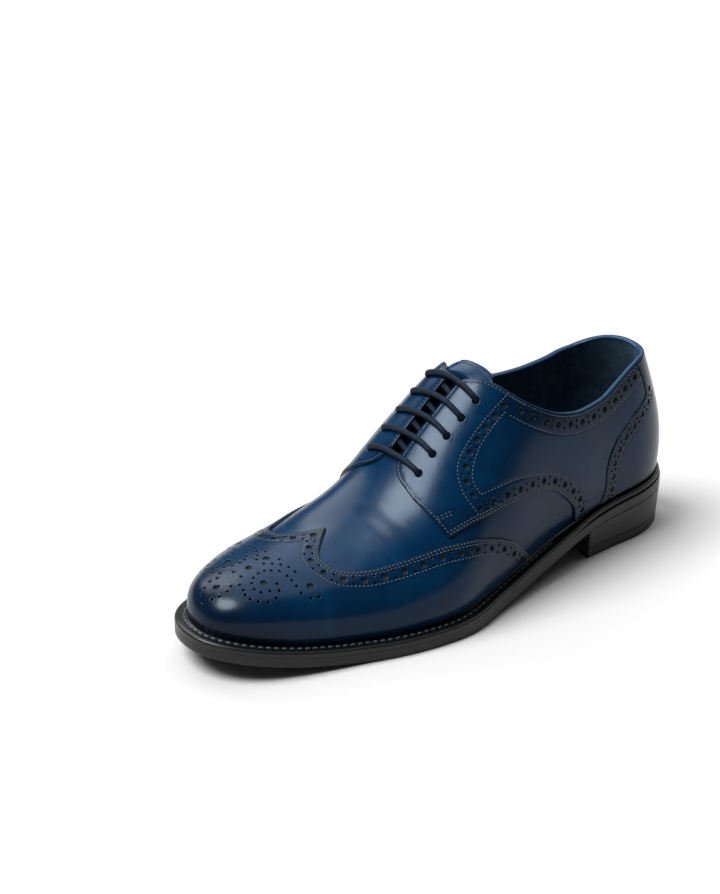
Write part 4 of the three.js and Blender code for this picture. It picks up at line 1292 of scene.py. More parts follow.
@dataclass
class Workshop:
    """Makes Blender pieces from meshes in the shoe's millimetres."""

    shift: tuple[float, float]
    materials: dict[str, bpy.types.Material] = field(default_factory=dict)
    floors: list[Mesh] = field(default_factory=list)

    def finish(self, finish: Finish) -> bpy.types.Material:
        """The material of a finish, made once."""
        if finish.name not in self.materials:
            self.materials[finish.name] = finish.material()
        return self.materials[finish.name]

    def piece(self, name: str, mesh: Mesh, finish: Finish, nodes: tuple[str, ...] = ()) -> None:
        """Makes a piece of the shoe.

        Args:
            name: the piece's name.
            mesh: its shape, in millimetres of the last.
            finish: what it is made of.
            nodes: solids that it stands for.
        """
        data = bpy.data.meshes.new(name)
        points = (mesh.points + np.array([*self.shift, 0.0])) * MM
        data.from_pydata(points.tolist(), [], mesh.faces.tolist())
        data.validate()
        body = bmesh.new()
        body.from_mesh(data)
        bmesh.ops.recalc_face_normals(body, faces=body.faces)
        body.to_mesh(data)
        body.free()
        data.polygons.foreach_set("use_smooth", np.ones(len(data.polygons), bool))
        for value_name, values in mesh.values.items():
            attribute = data.attributes.new(value_name, "FLOAT", "POINT")
            attribute.data.foreach_set("value", values.astype(np.float32))
        data.update()
        data.materials.append(self.finish(finish))
        made = in_scene(name, data)
        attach(made, "root")
        if nodes:
            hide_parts(*nodes)
        LOG.info("%s: %d triangles", name, len(mesh.faces))

    def panel(self, name: str, panel: Panel, leather: Calf, slot: str, thread: Thread) -> None:
        """Cuts a panel, sews its rows and keeps the raw leather that its large holes show.

        Args:
            name: the name of the piece and of the solid that it stands for.
            panel: the leather.
            leather: its finish.
            slot: the record's material slot; not used.
            thread: what it is sewn with.
        """
        self.floors.append(hole_floors(panel.chart, panel.punches, panel.face - panel.hole_depth))
        self.piece(name, panel.cut(), leather, (name,))
        for row in panel.rows:
            thread.sew(panel.chart, row, panel.face - panel.stitch_sink)


def on_side(table: Table, side: Side, chart: Chart) -> Array:
    """Flat line through a table of stations and shares up, on one side."""
    marks = np.linspace(0, 1, len(table.rows))
    fine = np.linspace(0, 1, 160)
    rows = Table(("mark", *table.columns), tuple((mark, *row) for mark, row in zip(marks, table.rows)))
    at, up = rows.smooth("mark", "at")(fine), rows.smooth("mark", "up")(fine)
    return chart.flatten(at, side.value * (1 - up))


@dataclass
class Pattern:
    """Cutting lines that several pieces of leather share."""

    last: Last
    facing_gap: float = 8.5
    facing_shift: float = 1.2
    seam: float = 0.012
    eyelets: int = 5
    eyelet_pitch: float = 8.8
    eyelet_from_top: float = 2.2
    eyelet_setback: float = 15
    eyelet_radius: float = 1.8

    def __post_init__(self) -> None:
        """Reads the ends of the throat from the tables."""
        self.topline_end = float(TOPLINE.column("at")[-1])
        self.slit_end = float(FACING_FRONT_HIGH.column("at")[0])
        self.topline = {side: TOPLINE.steady("at", side.word) for side in Side}
        girths = {side: [self.last.girth(float(at), side) for at in self.last.stations] for side in Side}
        self.girths = {side: np.array(values) for side, values in girths.items()}

    def girth(self, at: Array, side: Side) -> Array:
        """Half girth on one side."""
        return np.interp(at, self.last.stations, self.girths[side])

    def slit(self, at: Array, side: Side) -> Array:
        """Share across of the throat's edge."""
        return (self.facing_shift + side.value * self.facing_gap / 2) / self.girth(at, side)

    def top(self, at: Array, side: Side) -> Array:
        """Share up of the upper's edge, along the topline and then the throat."""
        edge = 1 - side.value * self.slit(np.minimum(at, self.slit_end), side)
        return np.where(at < self.topline_end, np.minimum(self.topline[side](at), edge), edge)

    def eyelet(self, row: int, side: Side) -> tuple[float, float]:
        """Station and share across of an eyelet."""
        at = self.topline_end + (self.eyelet_from_top + row * self.eyelet_pitch) / self.last.length
        reach = self.facing_shift + side.value * (self.facing_gap / 2 + self.eyelet_setback)
        return at, reach / float(self.girth(np.array(at), side))


def fillet(chart: Chart, first: Array, second: Array, reach: float) -> tuple[Array, Array, Array]:
    """Rounds the corner between two flat lines that meet.

    Args:
        chart: where the lines lie.
        first: line that ends at the corner.
        second: line that starts there.
        reach: how far from the corner the rounding starts.

    Returns:
        The shortened first line, the round and the shortened second line.
    """
    lengths = measured(chart.place(first))
    start = first[lengths < lengths[-1] - reach]
    end = second[measured(chart.place(second)) > reach]
    t = np.linspace(0, 1, 24)[:, None]
    curve = start[-1] * (1 - t) ** 2 + 2 * first[-1] * t * (1 - t) + end[0] * t ** 2
    return start, curve, end


def band_punches(chart: Chart, line: Array, count: int, spread: float,
                 ends: tuple[float, float] = (0.0, 1.0)) -> list[Punch]:
    """Large holes along a band with a pair of small ones between each two.

    Args:
        chart: where the band lies.
        line: the band's middle.
        count: number of large holes.
        spread: distance of the small holes from the middle.
        ends: shares of the line at the first and last large hole.

    Returns:
        The punches.
    """
    lengths = measured(chart.place(line))
    marks = lengths[-1] * np.linspace(ends[0], ends[1], 2 * count - 1)
    flat = np.column_stack([np.interp(marks, lengths, line[:, i]) for i in range(2)])
    above, below = (chart.offset(line, distance) for distance in (spread, -spread))
    punches = []
    for i, centre in enumerate(flat):
        if i % 2 == 0:
            punches.append(Punch(tuple(centre), LARGE_HOLE, LARGE_SIDES))
            continue
        for moved in (above, below):
            place = [np.interp(marks[i], lengths, moved[:, k]) for k in range(2)]
            punches.append(Punch(tuple(place), SMALL_HOLE, SMALL_SIDES))
    return punches


def apart(punches: list[Punch], gap: float = 0.7) -> list[Punch]:
    """Drops holes that would run into one before them."""
    kept = []
    for punch in punches:
        gaps = [math.dist(punch.centre, other.centre) - punch.radius - other.radius for other in kept]
        if min(gaps, default=gap + 1) > gap:
            kept.append(punch)
    return kept


def clear_of(chart: Chart, row: Array, loop: Array, distance: float) -> Array:
    """The part of a row that keeps its distance from an outline."""
    line = chart.place(chart.spaced(np.concatenate([loop, loop[:1]]), 0.3))
    return row[Nearest(line).distance(chart.place(row)) > distance]


@dataclass
class WingCap:
    """The toe cap with its two wings, its punched band and its medallion."""

    pattern: Pattern
    chart: Chart
    rows_in: tuple[float, float] = (0.95, 2.35)
    inner_row: float = 8.0
    inner_clear: float = 5.0
    band_middle: float = 5.0
    holes_a_side: int = 16
    peak: float = 0.729
    axis: float = -2.0
    large: float = 1.6
    small: float = 0.72

    def edge(self, side: Side) -> Array:
        """The wing's edge, from the feather up to the ridge."""
        up = np.linspace(self.pattern.seam, 1, 420)
        at = WING_EDGE.steady("up", "at")(up)
        return self.chart.flatten(at, side.value * (1 - up))

    def outline(self) -> list[Array]:
        """The cap's outline."""
        start = float(WING_EDGE.steady("up", "at")(np.array(self.pattern.seam)))
        at = spread_stations((start,), (400,))
        share = 1 - self.pattern.seam
        lateral = self.chart.flatten(at, np.full_like(at, share))
        medial = self.chart.flatten(at, np.full_like(at, -share))[::-1]
        return [lateral, medial, self.edge(Side.MEDIAL), self.edge(Side.LATERAL)[::-1]]

    def medallion(self) -> list[Punch]:
        """The pattern punched on the toe: large holes with arcs of small ones round them."""
        large = ((36.6, 0.0), (47.8, 0.0), (68.0, 0.0), (49.9, 14.7), (31.5, 29.3))
        small = (
            (77.5, 0.0), (74.5, 3.5), (71.0, 6.0), (66.5, 7.0), (63.0, 5.5), (59.5, 8.0), (60.5, 12.0),
            (61.5, 15.0), (61.0, 18.5), (58.5, 22.0), (54.5, 25.0), (50.0, 25.5), (46.5, 23.0),
            (45.0, 19.0), (50.5, 20.5), (54.5, 18.5), (56.0, 15.0), (54.5, 11.0), (51.5, 8.5),
            (47.5, 7.5), (44.0, 8.0), (41.5, 10.0), (38.5, 13.0), (37.5, 18.0), (37.5, 21.5),
            (37.5, 25.5), (37.5, 30.0), (34.5, 34.5), (30.5, 36.0), (32.5, 18.0), (33.0, 13.5),
            (35.0, 9.5), (32.5, 5.5), (37.5, 6.0), (40.5, 3.0), (55.0, 3.0),
        )
        spots = [(s, t, self.large) for s, t in large] + [(s, t, self.small) for s, t in small]
        punches = []
        for s, t, radius in spots:
            for side in Side:
                if side is Side.MEDIAL and abs(t) < 0.5:
                    continue
                across = self.axis + side.value * t
                at = float(self.pattern.last.ridge_station(np.array(s), self.peak))
                of = Side.LATERAL if across > 0 else Side.MEDIAL
                share = across / float(self.pattern.girth(np.array(at), of))
                centre = self.chart.flatten(np.array([at]), np.array([share]))[0]
                punches.append(Punch(tuple(centre), radius, 16 if radius == self.large else 10))
        return apart(punches)

    def build(self, shop: Workshop, thread: Thread) -> None:
        """Cuts, punches and sews the cap."""
        panel = Panel(self.chart, self.outline())
        loop = panel.loop()
        punches = self.medallion()
        rows = []
        for side in Side:
            edge = self.edge(side)
            left = side.value
            for distance in (*self.rows_in, self.inner_row):
                row = self.chart.offset(edge, left * distance)
                row = row[inside_loop(row, loop)]
                clear = self.inner_clear if distance == self.inner_row else 0.97 * distance
                rows.append(clear_of(self.chart, row, loop, clear))
            middle = self.chart.offset(edge, left * self.band_middle)
            middle = middle[inside_loop(middle, loop)]
            panel.smoke.append((middle, 4.5, 0.25))
            middle = clear_of(self.chart, middle, loop, 0.9 * self.band_middle)
            band = band_punches(self.chart, middle, self.holes_a_side, 1.9, ends=(0.012, 1.0))
            punches = apart(punches + band)
        panel.punches, panel.rows = punches, rows
        shop.panel("wing_cap", panel, BURNISHED_CALF, "burnished_leather", thread)


@dataclass
class Quarter:
    """One side of the shoe from the back seam to the facing, with its punched bands."""

    pattern: Pattern
    chart: Chart
    side: Side
    back: float = 0.004
    corner: float = 4.5
    facing_row: float = 1.5
    band_rows: tuple[float, float] = (0.95, 2.35)
    collar_row: float = 1.3
    collar_middle: float = 5.3
    collar_width: float = 10.2
    band_middle: float = 5.4
    band_end: float = 0.527
    collar_rows: tuple[float, float] = (0.09, 0.395)
    collar_holes: tuple[float, float] = (0.10, 0.383)
    collar_dark_end: float = 0.40

    def share(self, up: Array) -> Array:
        """Share across of a share up on this side."""
        return self.side.value * (1 - up)

    def lower_edge(self) -> Array:
        """From the feather to the facing's front corner."""
        at = np.linspace(*QUARTER_EDGE.column("at")[[0, -1]], 300)
        return self.chart.flatten(at, self.share(QUARTER_EDGE.steady("at", "up")(at)))

    def front_edge(self) -> Array:
        """From the front corner up to the throat."""
        low = np.linspace(*FACING_FRONT_LOW.column("at")[[0, -1]], 120)
        high = np.linspace(*FACING_FRONT_HIGH.column("at")[[-1, 0]], 160)
        at = np.concatenate([low, high[1:]])
        up = np.concatenate([
            FACING_FRONT_LOW.steady("at", "up")(low), FACING_FRONT_HIGH.steady("at", "up")(high[1:]),
        ])
        up = np.minimum(up, self.pattern.top(np.minimum(at, self.pattern.slit_end), self.side))
        return self.chart.flatten(at, self.share(up))

    def slit_edge(self) -> Array:
        """Up the throat to the topline."""
        at = np.linspace(self.pattern.slit_end, self.pattern.topline_end, 140)
        return self.chart.flatten(at, self.pattern.slit(at, self.side))

    def topline(self) -> Array:
        """From the throat back to the heel seam."""
        at = np.linspace(self.pattern.topline_end, self.back, 400)
        return self.chart.flatten(at, self.share(self.pattern.top(at, self.side)))

    def outline(self) -> list[Array]:
        """The quarter's outline, with the facing's top corner rounded."""
        bottom_at = np.linspace(self.back, QUARTER_EDGE.column("at")[0], 120)
        bottom = self.chart.flatten(bottom_at, self.share(np.full_like(bottom_at, self.pattern.seam)))
        slit, corner, topline = fillet(self.chart, self.slit_edge(), self.topline(), self.corner)
        seam_top = float(self.pattern.top(np.array(self.back), self.side))
        seam_up = np.linspace(seam_top, self.pattern.seam, 80)
        seam = self.chart.flatten(np.full_like(seam_up, self.back), self.share(seam_up))
        front, front_corner, slit = fillet(self.chart, self.front_edge(), slit, 1.5)
        return [bottom, self.lower_edge(), front, front_corner, slit, corner, topline, seam]

    def build(self, shop: Workshop, thread: Thread) -> None:
        """Cuts, punches and sews the quarter."""
        outline = self.outline()
        panel = Panel(self.chart, outline)
        loop = panel.loop()
        sign = self.side.value
        chart = self.chart
        front, rear, top = (on_side(table, self.side, chart) for table in (BAND_FRONT, BAND_REAR, BAND_TOP))
        rows = [front, rear[12:], top]
        edge = self.lower_edge()

        def moved(line: Array, distance: float) -> Array:
            """A line moved into the leather."""
            return chart.offset(line, -sign * distance)

        for distance in self.band_rows:
            rows.append(clear_of(chart, moved(edge, distance), loop, 0.97 * distance))
        throat = np.concatenate([outline[2], outline[3][1:], outline[4], outline[5][1:-1], outline[6][:60]])
        rows.append(clear_of(chart, moved(throat, self.facing_row), loop, 0.97 * self.facing_row))
        collar = outline[6]
        rows.append(clear_of(chart, moved(collar[40:], self.collar_row), loop, 0.9 * self.collar_row))
        at, _ = chart.unflatten(collar)
        sewn = (at > self.collar_rows[0]) & (at < self.collar_rows[1])
        rows.append(moved(collar, self.collar_width)[sewn])
        holes = (at > self.collar_holes[0]) & (at < self.collar_holes[1])
        middle = moved(collar, self.collar_middle)[holes]
        lower = moved(edge, self.band_middle)
        panel.smoke.append((moved(collar, 4.5)[at < self.collar_dark_end], 6.0, 0.55))
        panel.smoke.append((lower, 4.5, 0.2))
        punches = band_punches(chart, middle, 12, 1.7)
        upright = (front[8:150] + even_marks(rear, rear, 141)) / 2
        punches += band_punches(chart, upright, 8, 1.7, ends=(0.06, 0.93))
        lower = lower[chart.unflatten(lower)[0] < self.band_end]
        punches += band_punches(chart, lower, 11, 1.8, ends=(0.05, 0.985))
        for row in range(self.pattern.eyelets):
            at_row, share = self.pattern.eyelet(row, self.side)
            centre = chart.flatten(np.array([at_row]), np.array([share]))[0]
            punches.append(Punch(tuple(centre), self.pattern.eyelet_radius, 20))
        panel.punches, panel.rows = apart(punches), rows + self.tack_rows()
        shop.panel(f"quarter_{self.side.word}", panel, POLISHED_CALF, "upper_leather", thread)

    def tack_rows(self) -> list[Array]:
        """Two short rows that hold the facing's front corner."""
        rows = []
        for shift in (0.0, 1.5):
            at = np.linspace(0.5975, 0.571, 30)
            up = np.linspace(0.545, 0.519, 30)
            row = self.chart.flatten(at, self.share(up))
            rows.append(self.chart.offset(row, self.side.value * shift) if shift else row)
        return rows


@dataclass
class HeelCounter:
    """The overlay round the back of the heel."""

    pattern: Pattern
    chart: Chart
    face: float = 0.55
    edge_row: float = 1.2
    band_low: float = 10.0
    band_high: float = 6.0

    def edge(self, side: Side) -> Array:
        """Front edge on one side, from the feather to the topline."""
        up = np.linspace(0, COUNTER_EDGE.column("up")[-1], 320)
        at = COUNTER_EDGE.steady("up", "at")(up)
        top = self.pattern.top(at, side)
        up = self.pattern.seam + (top - self.pattern.seam) * up / up[-1]
        return self.chart.flatten(at, side.value * (1 - up))

    def build(self, shop: Workshop, thread: Thread) -> None:
        """Cuts, punches and sews the counter."""
        seam = self.pattern.seam
        lateral, medial = self.edge(Side.LATERAL), self.edge(Side.MEDIAL)
        low_at, high_at = COUNTER_EDGE.column("at")[[0, -1]]
        low = self.round_back(low_at, lambda at, side: np.full_like(at, seam))
        high = self.round_back(high_at, self.pattern.top)
        outline = [low, lateral, high[::-1], medial[::-1]]
        panel = Panel(self.chart, outline, face=self.face, wall=-0.05, hole_depth=0.5)
        loop = panel.loop()
        rows, punches = [], []
        for side, edge in ((Side.LATERAL, lateral), (Side.MEDIAL, medial)):
            sign = side.value
            row = self.chart.offset(edge, sign * self.edge_row)
            rows.append(clear_of(self.chart, row, loop, 0.95 * self.edge_row))
            rows.append(self.inner_row(edge, sign, 1.0)[:230])
            middle = self.inner_row(edge, sign, 0.56)
            panel.smoke.append((middle, 5.0, 0.45))
            punches += band_punches(self.chart, middle[8:236], 10, 1.5)
        panel.punches, panel.rows = apart(punches), rows
        shop.panel("heel_counter", panel, BURNISHED_CALF, "burnished_leather", thread)

    def round_back(self, at: float, up: Callable[[Array, Side], Array]) -> Array:
        """Flat line round the back at a share up, from the medial to the lateral side."""
        stations = np.linspace(0, at, 160)
        sides = [self.chart.flatten(stations, side.value * (1 - up(stations, side))) for side in Side]
        return np.concatenate([sides[1][::-1], sides[0][1:]])

    def inner_row(self, edge: Array, sign: int, share: float) -> Array:
        """Line inside the edge whose distance from it narrows towards the top."""
        wide = self.chart.offset(edge, sign * self.band_low * share)
        narrow = self.chart.offset(edge, sign * self.band_high * share)
        t = np.linspace(0, 1, len(edge))[:, None]
        return wide * (1 - t) + narrow * t


@dataclass
class Upper:
    """The vamp under the overlays, the lining inside it and the binding round the collar."""

    pattern: Pattern
    chart: Chart
    face: float = -1.3
    back: float = -3.1
    rows_up: int = 60
    station_counts: tuple[int, ...] = (34, 70, 36, 70, 70)
    binding_half: float = 1.62
    binding_rise: float = 0.75
    binding_sides: int = 14
    eyelet_clear: float = 2.9
    creased: tuple[float, float] = (0.5, 0.8)
    creases: tuple[Crease, ...] = (
        Crease((0.640, 0.52), (0.655, 0.27), (0.650, -0.02), 0.050, 2.4),
        Crease((0.668, 0.47), (0.688, 0.24), (0.675, -0.06), 0.045, 2.2),
        Crease((0.560, 0.66), (0.590, 0.62), (0.625, 0.60), 0.050, 2.0),
        Crease((0.655, -0.55), (0.668, -0.35), (0.660, -0.12), 0.050, 2.2),
        Crease((0.690, -0.52), (0.700, -0.34), (0.694, -0.16), 0.040, 2.0),
    )

    def stations(self) -> Array:
        """Stations of the net, dense where the leather shows."""
        pattern, last = self.pattern, self.pattern.last
        breaks = (0, last.heel_centre, pattern.topline_end, pattern.slit_end, last.toe_start)
        return spread_stations(breaks, self.station_counts)

    def skin(self, side: Side, depth: float, low: float) -> Mesh:
        """One side of a skin at a depth, from the feather to the topline, throat and ridge."""
        at = self.stations()
        end = int(np.argmin(np.abs(at - self.pattern.slit_end)))
        top = self.pattern.top(at, side)
        ups = low + (top[:, None] - low) * np.linspace(0, 1, self.rows_up + 1)[None, :]
        parts = [self.net(side, at, ups, depth)]
        ridge = top[end:, None] + (1 - top[end:, None]) * np.linspace(0, 1, 5)[None, :]
        parts.append(self.net(side, at[end:], ridge, depth))
        return Mesh.joined(parts)

    def net(self, side: Side, at: Array, ups: Array, depth: float) -> Mesh:
        """A net of points at stations and shares up."""
        stations = np.repeat(at[:, None], ups.shape[1], axis=1).ravel()
        shares = side.value * (1 - ups.ravel())
        points = self.pattern.last.place(stations, shares, depth)
        faces = net_faces(*ups.shape)
        if side is Side.LATERAL:
            faces = faces[:, ::-1]
        return Mesh(points, faces, {"station": stations, "share": shares})

    def rim(self, side: Side, outer: float, inner: float) -> Mesh:
        """Cut edge round the throat, between two depths."""
        at = self.stations()
        at = at[at <= self.pattern.slit_end + 1e-6]
        top = self.pattern.top(at, side)
        middle, half = (outer + inner) / 2, (outer - inner) / 2
        lines = []
        for angle in np.linspace(math.pi / 2, -math.pi / 2, 7):
            rise = 0.35 * math.cos(angle) / self.pattern.girth(at, side)
            depth = middle + half * math.sin(angle)
            lines.append(self.pattern.last.place(at, side.value * (1 - top - rise), depth))
        return Mesh.net(lines)

    def throat_end(self, outer: float, inner: float) -> Mesh:
        """Cut edge across the lower end of the throat."""
        end = np.array(self.pattern.slit_end)
        lateral, medial = (float(self.pattern.slit(end, side)) for side in Side)
        shares = np.linspace(medial, lateral, 12)
        at = np.full_like(shares, self.pattern.slit_end)
        grid = [self.pattern.last.place(at, shares, depth) for depth in (outer, inner)]
        return Mesh(np.concatenate(grid), net_faces(2, len(shares)))

    def build(self, shop: Workshop) -> None:
        """Lasts the vamp, the lining and the binding."""
        outer = Mesh.joined([self.skin(side, self.face, 0.0) for side in Side]).welded()
        outer = self.outward(outer)
        outer = self.open_eyelets(outer)
        edges = [self.rim(side, self.face, self.back) for side in Side]
        edges.append(self.throat_end(self.face, self.back))
        for edge in edges:
            edge.values["burnish"] = np.ones(len(edge.points))
        outer = Mesh.joined([outer, *edges])
        outer.values = {"burnish": outer.values["burnish"]}
        shop.piece("upper", outer, POLISHED_CALF, ("upper",))
        inner = Mesh.joined([self.skin(side, self.back, 0.02) for side in Side]).welded()
        inner.values = {}
        shop.piece("lining", inner, Suede("suede_lining"))
        shop.piece("collar_binding", self.binding(), BOUND_CALF)

    def outward(self, mesh: Mesh) -> Mesh:
        """Adds creases to the vamp, and a value that darkens it towards the feather line."""
        at, share = mesh.values["station"], mesh.values["share"]
        ground = self.pattern.last.place(at, share, 0.0)
        shown = (at > self.creased[0]) & (at < self.creased[1])
        relief = np.zeros(len(at))
        relief[shown] = crease_relief(self.chart, ground[shown], list(self.creases))
        points = self.pattern.last.place(at, share, self.face + relief)
        # darker towards the feather line
        return Mesh(points, mesh.faces, {"burnish": 0.5 * np.exp(-(1 - np.abs(share)) / 0.05)})

    def open_eyelets(self, mesh: Mesh) -> Mesh:
        """Leaves out the leather under the eyelets."""
        spots = []
        for side in Side:
            for row in range(self.pattern.eyelets):
                at, share = self.pattern.eyelet(row, side)
                spots.append(self.pattern.last.place(np.array([at]), np.array([share]), self.face)[0])
        centres = mesh.points[mesh.faces].mean(axis=1)
        far = Nearest(np.array(spots)).distance(centres) > self.eyelet_clear
        return Mesh(mesh.points, mesh.faces[far], mesh.values)

    def binding(self) -> Mesh:
        """The thin rolled edge round the collar, from throat to throat."""
        at = np.linspace(self.pattern.topline_end - 0.012, 0, 220)
        lines = [np.column_stack([at, side.value * (1 - self.pattern.top(at, side))]) for side in Side]
        path = np.concatenate([lines[0], lines[1][::-1][1:]])
        points, normals = self.pattern.last.sample(path[:, 0], path[:, 1])
        rise = np.cross(unit(np.gradient(points, axis=0)), normals)
        rise[rise[:, 2] < 0] *= -1
        ends = np.minimum(np.arange(len(path)), np.arange(len(path))[::-1]) / 12
        size = np.clip(ends, 0.05, 1) ** 0.5
        lines = []
        for k in range(self.binding_sides):
            angle = k * TURN / self.binding_sides
            depth = -self.binding_half + self.binding_half * math.cos(angle) * size
            height = (0.1 + self.binding_rise * math.sin(angle)) * size
            lines.append(points + normals * depth[:, None] + rise * height[:, None])
        tube = Mesh.net(lines, close_columns=True)
        tube.values["burnish"] = np.full(len(tube.points), 0.05)
        return tube


@dataclass
class Tongue:
    """The tongue under the throat, with its top above the facings."""

    pattern: Pattern
    chart: Chart
    face: float = -3.4
    back: float = -5.0
    lateral_width: float = 30
    medial_width: float = 23
    above: float = 13
    under: float = 9
    top_round: float = 12
    top_flat: float = 0.55
    rows: int = 90
    columns: int = 60
    edge: float = 1.3
    seam_in: float = 3.0
    seam_half: float = 0.45
    seam_depth: float = 0.12
    # Stations where the tongue goes down into the throat: there it sags, and its colour is painted with
    # shade.
    hidden_from: float = 0.440
    hidden_to: float = 0.456
    sag: float = 2.2
    sag_over: float = 12.0

    def build(self, shop: Workshop, thread: Thread) -> None:
        """Makes the tongue with its rounded edge and its row of stitches."""
        last = self.pattern.last
        start = self.pattern.slit_end + self.under / last.length
        end = self.pattern.topline_end - self.above / last.length
        marks = np.linspace(0, 1, self.rows + 1) ** 1.5
        at = end + (start - end) * marks
        from_top = np.clip((at - end) * last.length / self.top_round, 0, 1)
        fullness = np.maximum(np.sqrt(1 - (1 - from_top) ** 2), self.top_flat)
        across = np.sin(np.linspace(-math.pi / 2, math.pi / 2, self.columns + 1))
        half = fullness[:, None] * np.where(across > 0, self.lateral_width, self.medial_width)[None, :]
        share = across[None, :] * half / self.pattern.girth(at, Side.LATERAL)[:, None]
        side_in = (1 - np.abs(across))[None, :] * half
        top_in = ((at - end) * last.length)[:, None] * np.ones_like(side_in)
        inside = np.minimum(side_in, top_in)
        thick = np.sqrt(1 - (1 - np.clip(inside / self.edge, 0, 1)) ** 2)
        seam = self.seam_depth * np.exp(-((inside - self.seam_in) / self.seam_half) ** 2)
        hidden = blend(at, self.hidden_from, self.hidden_to)[:, None] * np.ones_like(inside)
        middle, body = (self.face + self.back) / 2, (self.face - self.back) / 2
        stations = np.repeat(at[:, None], self.columns + 1, axis=1).ravel()
        sag = self.sag * hidden * blend(inside, 0.0, self.sag_over)
        top = last.place(stations, share.ravel(), (middle + body * thick - seam - sag).ravel())
        bottom = last.place(stations, share.ravel(), (middle - body * thick - sag).ravel())
        faces = net_faces(self.rows + 1, self.columns + 1)
        # Darker near the edge, and painted shade on the part that lies deep in the throat under the
        # facings.
        burnish = (0.4 * np.exp(-inside / 1.5) + 1.4 * hidden).ravel()
        mesh = Mesh.joined([
            Mesh(top, faces, {"burnish": burnish}), Mesh(bottom, faces[:, ::-1], {"burnish": burnish}),
        ]).welded()
        shop.piece("tongue", mesh, POLISHED_CALF, ("tongue",))
        thread.sew(self.chart, self.seam_row(at, fullness, end), self.face - 0.04)

    def seam_row(self, at: Array, fullness: Array, end: float) -> Array:
        """Flat row of stitches a little inside the tongue's edge."""
        last = self.pattern.last
        kept = (at - end) * last.length > self.seam_in
        girth = self.pattern.girth(at[kept], Side.LATERAL)
        widths = (self.medial_width, self.lateral_width)
        medial, lateral = ((fullness[kept] * width - self.seam_in) / girth for width in widths)
        first = end + self.seam_in / last.length
        crown = np.linspace(-medial[0], lateral[0], 30)
        stations = np.concatenate([at[kept][::-1], np.full(30, first), at[kept]])
        shares = np.concatenate([-medial[::-1], crown, lateral])
        return self.chart.flatten(stations, shares)


